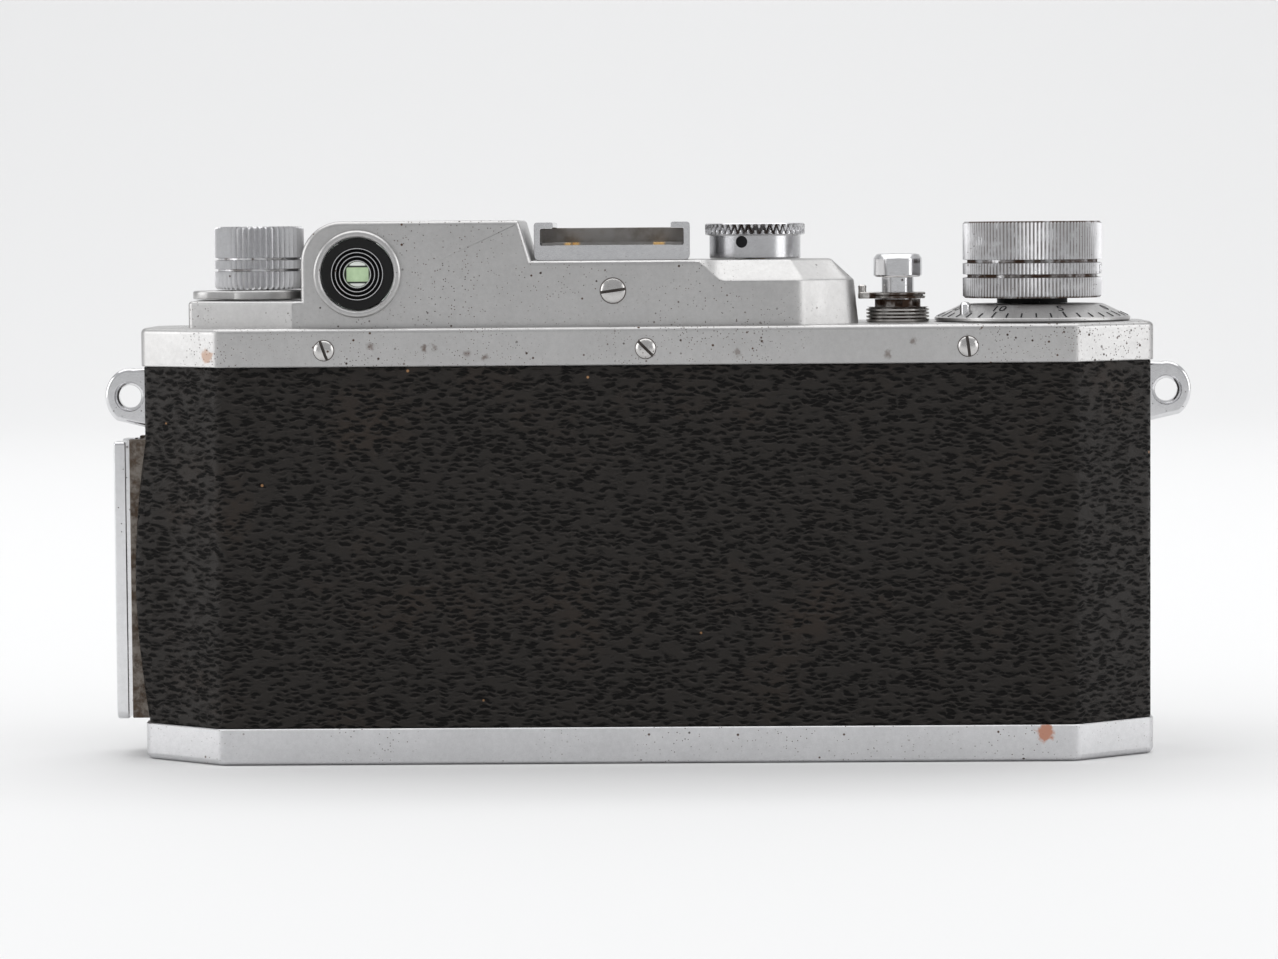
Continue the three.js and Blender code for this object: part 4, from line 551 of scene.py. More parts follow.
def eye_view():
    """What shows in the eyepiece, painted on its pane: a glowing greenish picture in a tunnel of painted
    shade, with glowing pale crescents; the glow is painted light.
    """
    green, pale_green = (0.33, 0.47, 0.27, 1), (0.50, 0.63, 0.42, 1)
    # tunnel is the painted shade round the picture.
    tunnel, pale = (0.02, 0.025, 0.02, 1), (0.75, 0.78, 0.74, 1)
    half_width, half_height, drop, painted_glow = 1.52, 0.98, 0.05, 0.38
    r = Recipe("eye_view")
    x = r.math("ABSOLUTE", r.math("SUBTRACT", r.part(0), EYE.x))
    z = r.math("ABSOLUTE", r.math("SUBTRACT", r.part(2), EYE.y - drop))
    inside = r.times(r.inverse(r.above(x, half_width - 0.05, half_width + 0.05)),
                     r.inverse(r.above(z, half_height - 0.05, half_height + 0.05)))
    crescent = r.times(r.above(z, 1.12, 1.3), r.inverse(r.above(x, 0.9, 1.3)))
    color = r.mix(inside, tunnel, r.mix(r.noise(1.6, 3.0), green, pale_green))
    color = r.mix(crescent, color, pale)
    # Painted light: the picture and the crescents glow, though nothing behind the pane lights them.
    painted_glow_strength = r.times(r.math("MAXIMUM", inside, crescent), painted_glow)
    return r.finish(color, 0.12, 0.0, **{"Emission Color": color, "Emission Strength": painted_glow_strength})


TOP_MARKS = (
    ((-59.9, -14.6, 56.1), 0.95, (0.50, 0.27, 0.15, 1), 0.55),
    ((-37.4, -15.6, 57.4), 0.40, RUST, 0.7),
    ((-30.1, -15.6, 57.0), 0.35, RUST, 0.8),
    ((-28.9, -15.6, 57.1), 0.30, RUST, 0.8),
    ((-24.5, -15.6, 56.3), 0.45, RUST, 0.5),
    ((-22.0, -15.6, 55.8), 0.35, RUST, 0.7),
    ((12.5, -15.6, 56.2), 0.40, RUST, 0.5),
    ((33.0, -15.6, 56.0), 0.40, RUST, 0.6),
    ((36.5, -15.6, 57.6), 0.35, RUST, 0.6),
)
BASE_MARKS = (((54.3, -15.65, 4.0), 1.15, COPPER, 0.9),)
# Where the spring's painted brass highlights lie along x.
SPRING_HIGHLIGHTS = (SHOE_LOW.x + 5.0, SHOE_LOW.x + 17.1)
BRIGHT_MARKS = (((-70.8, 0, 46.7), 1.0, (0.14, 0.11, 0.05, 1), 0.85),)
SATIN = (0.51, 0.505, 0.50)
BRIGHT = (0.72, 0.72, 0.73)
WORN = (0.55, 0.54, 0.53)
TURNED = (0.58, 0.58, 0.59)
WIND_RADIUS = 9.65
REWIND_RADIUS = 6.25
SPEED_RIM_RADIUS = 6.95
SPEED_RIM_Z = span("speed_dial")[1].z - 1.6
COLLAR_RADIUS = 4.3

finishes = {
    "top": plated("satin_chrome_top", (0.53, 0.525, 0.52), 0.36, 0.012, 3.6, TOP_MARKS),
    "housing": plated("satin_chrome_housing", SATIN, 0.36, 0.012, 2.0),
    "base": plated("satin_chrome_base", (0.66, 0.66, 0.67), 0.32, 0.008, 1.3, BASE_MARKS),
    "satin": plated("satin_chrome", SATIN, 0.34, 0.010, 0.8),
    "bright": plated("bright_chrome", BRIGHT, 0.14, 0.003, 0.5, BRIGHT_MARKS),
    "top_screw": plated("worn_top_screw", WORN, 0.22, 0.010, 0.6, seat=-FACE - 0.2),
    "housing_screw": plated("worn_housing_screw", WORN, 0.22, 0.010, 0.6, seat=-HOUSING_FACE - 0.2),
    "wind": plated("knurled_wind", TURNED, 0.30, 0.006, 0.6,
                   knurl=((WIND_X, 0), WIND_RADIUS - 0.03, 0.85, 0)),
    "rewind": plated("knurled_rewind", (0.64, 0.64, 0.65), 0.30, 0.004, 0.6,
                     knurl=((REWIND_X, 0), REWIND_RADIUS - 0.4, 0.5, 0)),
    "speed": plated("knurled_speed", TURNED, 0.22, 0.004, 0.8,
                    knurl=((DRUM_X, 0), SPEED_RIM_RADIUS - 0.23, 1.0, SPEED_RIM_Z + 0.15)),
    "collar": plated("worn_collar", (0.55, 0.53, 0.51), 0.24, 0.006, 1.0,
                     knurl=((RELEASE_X, 0), COLLAR_RADIUS, 0.7, 0)),
    "leather": leather(),
    "rust": rusty_steel(),
    "steel": plain_metal("turned_steel", (0.50, 0.50, 0.50, 1), (0.36, 0.34, 0.32, 1), 0.3),
    "stop": plain_metal("dull_steel", (0.30, 0.29, 0.28, 1), (0.16, 0.14, 0.12, 1), 0.4),
    "spring": spring_steel(),
    "brass": plain_metal("machined_brass", (0.60, 0.42, 0.17, 1), (0.40, 0.25, 0.10, 1), 0.3),
    "alloy": plain_metal("cast_alloy", (0.42, 0.42, 0.43, 1), (0.30, 0.30, 0.31, 1), 0.5, 0.05),
    "enamel": enamel("black_enamel", (0.006, 0.006, 0.006, 1), 0.5),
    "ink": enamel("engraving_ink", (0.010, 0.010, 0.011, 1), 0.6),
    "cloth": cloth(),
    "glass": coated_glass("optical_glass", (0.86, 0.93, 0.88, 1)),
    "eye": eye_view(),
}
NODE_FINISH = {"shoe_spring": "spring"}
SLOT_FINISH = {
    "satin_chrome": "satin",
    "bright_chrome": "bright",
    "cast_alloy": "alloy",
    "leather": "leather",
    "black_enamel": "enamel",
    "steel": "steel",
    "brass": "brass",
    "optical_glass": "glass",
    "shutter_cloth": "cloth",
}


# ---- pieces
def dress(mesh, finish):
    mesh.shade_smooth()
    mesh.set_sharp_from_angle(angle=ANGLE_LIMIT)
    mesh.materials.clear()
    mesh.materials.append(finishes[finish])


def piece(name, mesh, finish, *nodes, rides=None):
    """A finished piece that stands for CAD nodes, or only rides with one of them."""
    dress(moved(mesh, Matrix.Scale(MM, 4)), finish)
    made = link(bpy.data.objects.new(name, mesh))
    shading = made.modifiers.new("flat_faces", "WEIGHTED_NORMAL")
    shading.keep_sharp = True
    leader = nodes[0] if nodes else rides
    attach(made, node_bodies[leader])
    if nodes:
        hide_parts(*nodes)
    return made


# Body: an octagon in plan. The plates are pressed sheet, with a skirt over the body.
CORNER_X, CORNER_Y = 11.4, 8.7
BODY_CORNERS = [
    (END, -FACE + CORNER_Y), (END, FACE - CORNER_Y), (END - CORNER_X, FACE), (-END + CORNER_X, FACE),
    (-END, FACE - CORNER_Y), (-END, -FACE + CORNER_Y), (-END + CORNER_X, -FACE), (END - CORNER_X, -FACE),
]
PLATE_OUTLINE = soften(BODY_CORNERS, 2.2, steps=7)
SHEET = 1.2
SKIRT = 0.95
LIP = 0.12  # bevel of the skirt's open edge
TOP_BEND, BASE_BEND = 0.75, 0.95
LOCK_HOLE, BUSH_HOLE = 8.15, 7.35


def plate_rows(rows):
    return loft([[(p.x, p.y, z) for p in inset(PLATE_OUTLINE, d)] for d, z in rows])


def quarter(edge, z, rise, steps=5):
    """Insets and heights round an edge that ends at z; rise is 1 towards a top, -1 towards a bottom."""
    turns = [math.pi / 2 * k / steps for k in range(steps + 1)]
    return [(edge * (1 - math.cos(t)), z - rise * edge * (1 - math.sin(t))) for t in turns]


def top_plate():
    rows = [(SKIRT, TOP - SHEET), (SKIRT, BAND_TOP), (LIP, BAND_TOP), (0, BAND_TOP + LIP)]
    return plate_rows(rows + quarter(TOP_BEND, TOP, 1))


def base_plate():
    rim = BASE_HIGH.z
    rows = [(SKIRT, SHEET), (SKIRT, rim), (LIP, rim), (0, rim - LIP)]
    plate = plate_rows(rows + quarter(BASE_BEND, 0, -1))
    return cut(plate,
               rod((REWIND_X, 0), LOCK_HOLE, -1, SHEET + 1),
               rod((WIND_X, 0), BUSH_HOLE, -1, SHEET + 1))


# The covering, which bulges at the corner by the flash rail.
BAND_LOW, BAND_HIGH = BASE_HIGH.z + 0.05, BAND_TOP - 0.05
BAND_OUTER, BAND_INNER = 0.35, 1.05  # insets of its two faces from the plates
BAND_STEPS = 32
BULGE = 1.9
BULGE_REACH = 7.0
BULGE_SPAN = (5.5, 44.5)
LENS_HOLE, DIAL_HOLE, LUG_SLOT, LUG_DROP = 24.35, 6.5, 1.65, 8.7


def leather_band():
    """The covering as a closed band, its outline and the length along it up to each point."""
    outline = subdivided(soften(BODY_CORNERS, 2.4, steps=7), 1.6)
    start = min(range(len(outline)), key=lambda i: (outline[i] - Vector((0, FACE))).length)
    outline = outline[start:] + outline[:start]
    lengths = [0.0]
    for i, point in enumerate(outline):
        lengths.append(lengths[-1] + (outline[(i + 1) % len(outline)] - point).length)
    tall = BAND_HIGH - BAND_LOW - 0.4
    face = [(BAND_OUTER, BAND_LOW + 0.2 + tall * k / BAND_STEPS) for k in range(BAND_STEPS + 1)]
    sides = [(0.5, BAND_LOW), (0.38, BAND_LOW + 0.06), *face, (0.38, BAND_HIGH - 0.06),
             (0.5, BAND_HIGH), (BAND_INNER, BAND_HIGH), (BAND_INNER, BAND_LOW)]
    corner = Vector((-END, -FACE + CORNER_Y))
    low, high = BULGE_SPAN
    rows = []
    for distance, z in sides:
        rise = math.sin(math.pi * min(1.0, max(0.0, (z - low) / (high - low))))
        row = []
        for point in inset(outline, distance):
            near = 1 - (point - corner).length / BULGE_REACH if distance < BAND_INNER else 0.0
            push = BULGE * rise * blend_step(0, 1, near)
            row.append((point.x - 0.8 * push, point.y - 0.6 * push, z))
        rows.append(row)
    return loft(rows, loop=True), outline, lengths


def unwrap_band(mesh, outline, lengths):
    """UV in millimetres: along the body's outline and up."""
    mesh.uv_layers.new(name="UVMap")
    layer = mesh.uv_layers.active.data
    total = lengths[-1]
    along = []
    for vertex in mesh.vertices:
        flat = vertex.co.xy
        nearest = min(range(len(outline)), key=lambda i: (outline[i] - flat).length_squared)
        along.append(lengths[nearest])
    for face in mesh.polygons:
        values = [along[vertex] for vertex in face.vertices]
        wraps = max(values) - min(values) > total / 2
        for k, vertex, value in zip(face.loop_indices, face.vertices, values):
            u = value + total if wraps and value < total / 2 else value
            layer[k].uv = (u, mesh.vertices[vertex].co.z)


def covering():
    band, outline, lengths = leather_band()
    unwrap_band(band, outline, lengths)
    dial = middle("slow_speed_dial")
    rail_low, rail_high = span("flash_rail_base")
    slots = [box((x, -LUG_SLOT, BAND_TOP - LUG_DROP), (x + 3, LUG_SLOT, BAND_TOP + 1), 0)
             for x in (-END - 1, END - 2)]
    return cut(
        band,
        rod(LENS, LENS_HOLE, 5, FACE + 1, "y", 96),
        rod((dial.x, dial.z), DIAL_HOLE, 5, FACE + 1, "y"),
        box((-END - 3, rail_low.y - 0.15, 0), (-END + 2, rail_high.y + 0.15, rail_high.z + 0.15), 0),
        *slots,
    )


# Finder housing: three overlapping solids, once outside and once for the hollow.
DECK = HOUSING_HIGH.z - 5.6
HUMP_X = (HOUSING_LOW.x + 16.15, HOUSING_LOW.x + 47.75)
HUMP_CORNER, HUMP_CHAMFER = 5.6, 1.75
S_CURVE = (7.0, 10.8)
SHOULDER = 2.85  # height of the bevel round the speed dial's deck
STEP_HEIGHT = 3.65  # low part under the rewind knob
HOUSING_WALL = 1.3
EYE_HOLE, RANGER_HOLE, SHAFT_HOLE, SCREW_HOLE = 4.97, 2.5, 1.6, 0.8


def deck_solid(wall):
    face = HOUSING_FACE - wall
    right = HOUSING_HIGH.x - wall
    top = DECK - wall
    left, across, along = -30, 8.3 + 0.4 * wall, 6.6 + 0.4 * wall
    corners = [(left, -face), (right - across, -face), (right, -face + along),
               (right, face - along), (right - across, face), (left, face)]
    outline = subdivided(soften(corners, [0, 3.6, 4.2, 4.2, 3.6, 0], steps=8), 0.7)
    curve = [blend_step(*S_CURVE, p.x) for p in outline]
    lean = [0.6 * blend_step(19, 27, p.x) for p in outline]
    # Each level: its share of the bevel's width, its drop from the top and what the S-curve adds.
    levels = [
        (0, 0.75, SHOULDER - 0.55),
        (0.04, 0.42, SHOULDER - 0.45),
        (0.14, 0.22, SHOULDER - 0.55),
        (0.88, 0.05, 0.28),
        (0.95, 0.015, 0.1),
        (1.05, 0, 0),
    ]
    floor = TOP - (1 if wall else 0)
    rows = [[(p.x, p.y, floor) for p in outline]]
    for share, drop, growth in levels:
        depth = [share * (0.5 + 2.7 * s) + tilt for s, tilt in zip(curve, lean)]
        rows.append([(p.x, p.y, top - drop - growth * s) for p, s in zip(inset(outline, depth), curve)])
    return loft(rows)


def hump_solid(wall):
    left, right = HUMP_X[0] + wall, HUMP_X[1] - wall
    top, floor = HOUSING_HIGH.z - wall, TOP - wall
    corners = [(left, floor), (right, floor), (right, DECK - 0.3), (right - HUMP_CHAMFER, top), (left, top)]
    outline = soften(corners, [0, 0, 0.8, 0.6, HUMP_CORNER - wall], steps=10)
    edge = 0 if wall else 0.65
    face = HOUSING_FACE - wall
    return prism(outline, -face, face, "y", (edge, edge), 5)


def lower_solid(wall):
    left, face = HOUSING_LOW.x + wall, HOUSING_FACE - wall
    shoulder, half_end, right = left + 15, 7.5, -28
    corners = [(left, -half_end), (shoulder, -face), (right, -face),
               (right, face), (shoulder, face), (left, half_end)]
    outline = soften(corners, [0.9, 0.9, 0, 0, 0.9, 0.9])
    floor = TOP - (1 if wall else 0)
    return prism(outline, floor, TOP + STEP_HEIGHT - wall, "z", (0, 0 if wall else 0.5), 4)


def housing():
    skin, hollow = [union(deck_solid(wall), hump_solid(wall), lower_solid(wall))
                    for wall in (0, HOUSING_WALL)]
    window, window_high = span("finder_window")
    ranger = middle("rangefinder_window")
    seat = middle("housing_screw")
    inner = HOUSING_FACE - 2
    return cut(
        skin, hollow,
        rod(EYE, EYE_HOLE, -FACE, -inner, "y"),
        rod((ranger.x, ranger.z), RANGER_HOLE, inner, FACE, "y"),
        box((window.x - 0.1, inner, window.z - 0.1), (window_high.x + 0.1, FACE, window_high.z + 0.1), 0),
        rod((REWIND_X, 0), SHAFT_HOLE, TOP - 1, TOP + 6),
        rod((DRUM_X, 0), SHAFT_HOLE, TOP - 1, DECK + 1),
        rod((seat.x, seat.z), SCREW_HOLE, -FACE, -inner, "y", 16),
    )


def screw(node, slot_turn, head, face):
    """A domed slotted head; slot_turn is the slot's angle from level, anticlockwise from behind."""
    at = middle(node)
    shank, dome, slot_half = 0.7, 0.62, 0.2
    profile = [(0.02, -dome), (0.45 * head, -0.58), (0.8 * head, -0.42), (head, -0.12),
               (head + 0.02, 0.05), (shank, 0.05), (shank, 2)]
    body = lathe([(r, face + h) for r, h in profile], (at.x, at.z), "y", 40)
    slot = box((-head - 1, -0.5, -slot_half), (head + 1, 0.48, slot_half), 0)
    place = shift(at.x, face - dome, at.z) @ spin(-math.radians(slot_turn), "Y")
    return cut(body, moved(slot, place))


def eyepiece():
    back = -HOUSING_FACE
    inner, outer, proud = 4.97, 5.95, 1.1
    rim = [(inner, back + 0.05), (outer, back + 0.05), (outer, back - 0.85), (outer - 0.25, back - proud),
           (5.25, back - proud), (5.0, back - 0.8)]
    ring = lathe(soften(rim, 0.12, steps=3), EYE, "y", loop=True)
    piece("eyepiece_ring_turned", ring, "satin", "eyepiece_ring")

    front, insert, tunnel, ridges = back + 1.3, 4.85, 3.1, (3.5, 2.95, 2.4, 1.85)
    profile = [(insert, back - 0.75), (3.62, back - 0.55)]
    for radius in ridges:
        profile += [(radius + 0.08, back - 0.42), (radius + 0.03, back - 0.58),
                    (radius - 0.03, back - 0.58), (radius - 0.08, back - 0.42)]
        if radius != ridges[-1]:
            profile.append((radius - 0.1, back - 0.15))
    profile += [(1.7, front - 1.1), (tunnel, front - 1.1), (tunnel, front), (insert, front)]
    piece("eyepiece_insert_turned", lathe(profile, EYE, "y", loop=True), "enamel", "eyepiece_insert")
    for number, radius in enumerate(ridges, 1):
        line = [(radius + 0.085, back - 0.57), (radius + 0.05, back - 0.66),
                (radius - 0.05, back - 0.66), (radius - 0.085, back - 0.57)]
        ridge = lathe(line, EYE, "y", loop=True)
        piece(f"eyepiece_ridge_{number}", ridge, "bright", rides="eyepiece_insert")
    pane = [(2.95, front - 1.05), (3.0, front - 1.0), (3.0, front - 0.05), (2.95, front)]
    piece("eyepiece_lens_turned", lathe(pane, EYE, "y", 48), "eye", "eyepiece_lens")


def shoe():
    left, right = SHOE_LOW.x, SHOE_HIGH.x
    low, high = SHOE_LOW.z, SHOE_HIGH.z
    floor, wall, lip, lip_under = low + 2.1, 0.85, 1.75, high - 0.85
    side = [(right, low), (right, high), (right - wall - lip, high), (right - wall - lip, lip_under),
            (right - wall, lip_under), (right - wall, floor)]
    mirrored = [(left + right - x, z) for x, z in reversed(side)]
    radii = [0.7, 0.4, 0.25, 0.18, 0.18, 0.18]
    outline = soften(side + mirrored, radii + radii[::-1], steps=3)
    rails = prism(outline, SHOE_LOW.y, SHOE_HIGH.y, "y", (0.08, 0.08), 2)
    stop = box((left + 0.3, SHOE_HIGH.y - 1.3, low + 0.2), (right - 0.3, SHOE_HIGH.y - 0.1, lip_under + 0.1))
    piece("accessory_shoe_milled", rails, "bright", "accessory_shoe")
    piece("accessory_shoe_stop", stop, "stop", rides="accessory_shoe")


def lug(side):
    """A strap lug: a rounded ring on a web that widens into the body's end."""
    at = Vector((side * (END + 2.4), BAND_TOP - 4.4))
    wide, tall, half = 3.4, 3.95, 1.5
    ring = [at + Vector((side * wide * p.x, tall * p.y))
            for p in arc(1, math.radians(-58), math.radians(100), 32)]
    root = side * (END - 1.1)
    foot = [Vector((root, at.y - 4.3)), Vector((side * (END + 0.3), at.y - 4.25))]
    corners = foot + ring + [Vector((root, at.y + 4.0))]
    outline = corners if side > 0 else corners[::-1]
    body = prism(outline, -half, half, "y", (0.55, 0.55))
    eye = [(2.35, -2.0), (2.1, -half), (1.6, -0.75), (1.55, 0), (1.6, 0.75), (2.1, half), (2.35, 2.0)]
    return cut(body, lathe(eye, at, "y", 48))


def flash_rail():
    low, high = span("flash_rail")
    base_low, base_high = span("flash_rail_base")
    plate_thick, slot_half, channel_half, wall = 1.7, 3.3, 5, 0.4
    groove = low.x + plate_thick
    strip = soften(rectangle((low.y, low.z), (high.y, high.z)), [1.2, 1.2, 0.5, 0.5])
    plate = prism(strip, low.x, groove, "x", (0.3, 0.3))
    rim = box((groove - 0.1, low.y + wall, low.z + 0.6), (base_low.x, high.y - wall, high.z), 0)
    slot = soften(rectangle((-slot_half, low.z + 4.2), (slot_half, high.z + 2)), [2.0, 2.0, 0, 0])
    opening = prism(slot, low.x - 1, base_low.x + 1, "x", (0, 0))
    channel = box((groove, -channel_half, low.z + 3.2), (base_low.x + 1, channel_half, high.z + 1), 0)
    piece("flash_rail_plate", cut(union(plate, rim), opening, channel), "bright", "flash_rail")
    block = box(base_low, base_high, 0.12)
    recess = box((base_low.x - 1, -channel_half, base_low.z + 3),
                 (base_low.x + 1.45, channel_half, base_high.z + 1), 0)
    piece("flash_rail_foot", cut(block, recess), "rust", "flash_rail_base")


# ---- knobs, dials and the release
def knob(node, radius, edge, groove_heights, groove, teeth, tooth):
    """A knurled knob with plain grooves (depth and width) and a slightly dished top."""
    low, high = span(node)
    depth, width = groove
    margin = 0.3  # plain stretch above and below the knurl
    starts = [low.z + height for height in groove_heights]
    ends = [z + width for z in starts]
    profile = [(1.7, low.z), (radius - edge, low.z), (radius, low.z + edge)]
    for start, end in zip(starts, ends):
        profile += [(radius, start), (radius - depth, start + 0.08), (radius - depth, end - 0.08),
                    (radius, end)]
    profile += [(radius, high.z - edge), (radius - edge, high.z), (radius - 0.9, high.z),
                (radius - 1.25, high.z - 0.3), (0.6, high.z - 0.35)]
    knurls = list(zip([low.z + margin, *ends], [*starts, high.z - margin]))
    return lathe(profile, (middle(node).x, 0), teeth=teeth, knurls=knurls, depth=tooth)


def wind_clip():
    """The open end of the spring ring in the knob's middle band."""
    low, _ = span("wind_knob")
    half_wide, tall = 0.55, 1.5
    hook = soften(rectangle((-half_wide, 0), (half_wide, tall)), 0.5)
    body = prism(hook, -0.35, 0.35, "x", (0.15, 0.15), 3)
    gap = box((-1, -0.2, 0.45), (1, 0.9, 1.05), 0)
    place = shift(WIND_X, 0, 0) @ spin(math.radians(-17)) @ shift(WIND_RADIUS - 0.2, 0, low.z + 3.3)
    return moved(cut(body, gap), place)


def collar():
    """The winding shaft, with the black collar that shows under the knob."""
    low, high = span("wind_shaft")
    top = span("wind_knob")[0].z
    bottom = span("counter_dial")[1].z + 0.1
    shaft, outer = 1.5, 4.9
    profile = [(shaft, low.z), (shaft, bottom), (outer, bottom), (outer, top), (shaft, top), (shaft, high.z)]
    return lathe(profile, (WIND_X, 0), sides=64)


def figure(text, size):
    """A numeral as a thin raised mesh, centred on the origin and lying flat."""
    curve = bpy.data.curves.new("numeral", "FONT")
    curve.body = text
    curve.size = size
    curve.align_x = "CENTER"
    curve.align_y = "CENTER"
    curve.extrude = 0.012
    curve.resolution_u = 3
    holder = link(bpy.data.objects.new("numeral", curve))
    depsgraph = bpy.context.evaluated_depsgraph_get()
    mesh = bpy.data.meshes.new_from_object(holder.evaluated_get(depsgraph))
    bpy.data.objects.remove(holder)
    return mesh


FRAMES = 40
FIGURE_EVERY = 5
FIVE_TURN = math.radians(15.9)  # where the numeral 5 stands, from straight behind towards +X


def counter():
    low, high = span("counter_dial")
    rim, flat, bore = 13.6, 9.8, 1.6
    lip = low.z + 0.55
    profile = [(bore, low.z), (rim - 0.15, low.z), (rim, low.z + 0.15), (rim, lip - 0.1), (rim - 0.1, lip),
               (flat + 0.1, high.z - 0.05), (flat - 0.1, high.z), (bore, high.z)]
    dial = lathe(profile, (WIND_X, 0), sides=160, loop=True)
    piece("counter_dial_turned", dial, "satin", "counter_dial")

    slope = math.atan2(high.z - lip, rim - flat)
    half_tick, sunk, proud = 0.11, -0.012, 0.022
    marks = []

    def engrave(mesh, turn, radius, lift):
        """Lays a flat mark on the dial's cone."""
        z = lip + (rim - radius) * math.tan(slope) + lift
        marks.append(moved(mesh, spin(turn) @ shift(0, -radius, z) @ spin(slope, "X")))

    for step in range(FRAMES):
        turn = FIVE_TURN - 2 * math.pi * (step - 5) / FRAMES
        numbered = step % FIGURE_EVERY == 0
        length = 1.6 if numbered else 1.2
        tick = box((-half_tick, -length / 2, sunk), (half_tick, length / 2, proud), 0)
        engrave(tick, turn, rim - 0.2 - length / 2, 0)
        if numbered:
            engrave(figure(str(step), 2.2), turn, rim - 2.65, 0.01)
    figures = moved(joined(*marks), shift(WIND_X, 0, 0))
    piece("counter_figures", figures, "ink", rides="counter_dial")

    pin_low, pin_high = span("counter_pin")
    at = middle("counter_pin")
    dome = [(0.72, pin_low.z), (0.75, pin_high.z), (0.5, pin_high.z + 0.35), (0.02, pin_high.z + 0.45)]
    pin = lathe(soften(dome, 0.2, closed=False), at.xy, sides=32)
    piece("counter_pin_turned", pin, "bright", "counter_pin")


def speed_dial():
    low, high = span("speed_dial")
    rim, bore, body, outer = SPEED_RIM_Z, 1.6, 6.35, SPEED_RIM_RADIUS
    profile = [(bore, low.z), (body - 0.15, low.z), (body, low.z + 0.15), (body, rim - 0.15),
               (body + 0.15, rim), (outer - 0.15, rim), (outer, rim + 0.12)]
    profile += [(outer, rim + 0.2 + 1.2 * k / 6) for k in range(7)]
    profile += [(outer, high.z - 0.12), (outer - 0.15, high.z), (6.1, high.z), (5.9, high.z - 0.15),
                (bore, high.z - 0.15)]
    knurl = (rim + 0.13, high.z - 0.13)

    def crossed(phase, height):
        """Two slanting grooves that cross, so that one row of peaks zigzags round the rim."""
        lean = 0.5 * (height - knurl[0]) / (knurl[1] - knurl[0])
        near = min(abs((phase + side * lean + 0.5) % 1 - 0.5) for side in (-1, 1))
        return max(0.0, 1 - near / 0.24)

    turned = lathe(profile, (DRUM_X, 0), loop=True, teeth=42, knurls=[knurl], depth=0.68,
                   relief=crossed, facets=8)
    recess = lathe([(3.0, low.z - 1), (3.0, low.z + 1.9)], (DRUM_X, 0), sides=48)
    screw_place = shift(DRUM_X, 0, low.z + 2.3) @ spin(math.pi - 0.31)
    screw_hole = moved(rod((0, 0), 0.83, 5, 8, "y", 24), screw_place)
    piece("speed_dial_turned", cut(turned, recess, screw_hole), "speed", "speed_dial")
    grub = moved(rod((0, 0), 0.8, 5.2, 6.1, "y", 24), screw_place)
    piece("speed_dial_set_screw", grub, "ink", rides="speed_dial")

    values = ("B", "20", "30", "40", "60", "100", "200", "500")
    turns = [spin(2 * math.pi * step / len(values)) for step in range(len(values))]
    seat = shift(0, -4.6, high.z - 0.145)
    marks = [moved(figure(value, 1.7), turn @ seat) for value, turn in zip(values, turns)]
    figures = moved(joined(*marks), shift(DRUM_X, 0, 0))
    piece("speed_dial_figures", figures, "ink", rides="speed_dial")


def selector():
    low, high = span("selector_lever")
    radius, bore, wide, tip = 6.4, 1.65, 6.2, 4.4
    hub = [(0.02, low.z), (radius - 0.1, low.z), (radius, low.z + 0.1), (radius, high.z - 0.2),
           (radius - 0.2, high.z), (0.02, high.z)]
    tab = [(low.x, -tip), (REWIND_X, -wide), (REWIND_X, wide), (low.x, tip)]
    lever = prism(soften(tab, [3.8, 0, 0, 3.8], steps=9), low.z + 0.05, high.z - 0.05, "z", (0.12, 0.25), 3)
    return cut(union(lathe(hub, (REWIND_X, 0)), lever), rod((REWIND_X, 0), bore, low.z - 1, high.z + 1))


def release():
    low, high = span("release_button")
    stem, waist, cap = 2.25, 3.2, 3.4
    under = high.z - 3.25
    profile = [(stem, low.z), (stem, under), (waist, under), (cap, under + 0.25), (cap, high.z - 0.7),
               (3.0, high.z - 0.12), (2.6, high.z), (1.2, high.z), (0.75, high.z - 0.5), (0.7, high.z - 2)]
    button = lathe(soften(profile, 0.12, closed=False, steps=3), (RELEASE_X, 0), sides=80)
    piece("release_button_turned", button, "bright", "release_button")

    top = span("release_collar")[1].z
    bore, root, crest, pitch, turns = 2.36, 3.95, 4.4, 0.48, 4
    thread_top = TOP + 2.1
    profile = [(bore, TOP), (COLLAR_RADIUS - 0.05, TOP)]
    for turn in range(turns):
        z = TOP + 0.1 + pitch * turn
        profile += [(crest, z + 0.05), (crest, z + 0.28), (root, z + 0.36), (root, z + 0.42)]
    profile += [(COLLAR_RADIUS, thread_top), (3.2, thread_top), (3.2, top), (bore, top)]
    ring = lathe(profile, (RELEASE_X, 0), sides=80, loop=True)
    notches = [moved(box((-0.5, 2.7, thread_top + 0.1), (0.5, 4.6, top - 0.1), 0),
                     shift(RELEASE_X, 0, 0) @ spin(math.radians(turn)))
               for turn in range(0, 360, 45)]
    piece("release_collar_turned", cut(ring, *notches), "collar", "release_collar")


def reversing_lever():
    low, high = span("reversing_lever")
    top = low.z + 0.9
    outer, groove = 3.85, 3.5
    flange = [(outer - 0.15, low.z), (outer, low.z + 0.1), (outer, low.z + 0.32), (groove, low.z + 0.4),
              (groove, low.z + 0.5), (outer, low.z + 0.58), (outer, top - 0.1), (outer - 0.15, top)]
    ring = lathe(flange, (RELEASE_X, 0), sides=72)
    tab = [(low.x, -1.1), (RELEASE_X, -1.5), (RELEASE_X, 1.5), (low.x, 1.1)]
    arm = prism(soften(tab, [0.7, 0, 0, 0.7]), low.z, top, "z", (0.12, 0.2), 3)
    post = [(0.6, top - 0.3), (0.55, top + 0.25), (0.6, high.z - 0.15), (0.4, high.z)]
    grip = lathe(soften(post, 0.1, closed=False), (low.x + 0.6, 0), sides=28)
    bore = rod((RELEASE_X, 0), 2.4, low.z - 1, high.z + 1)
    return cut(union(ring, arm, grip), bore)


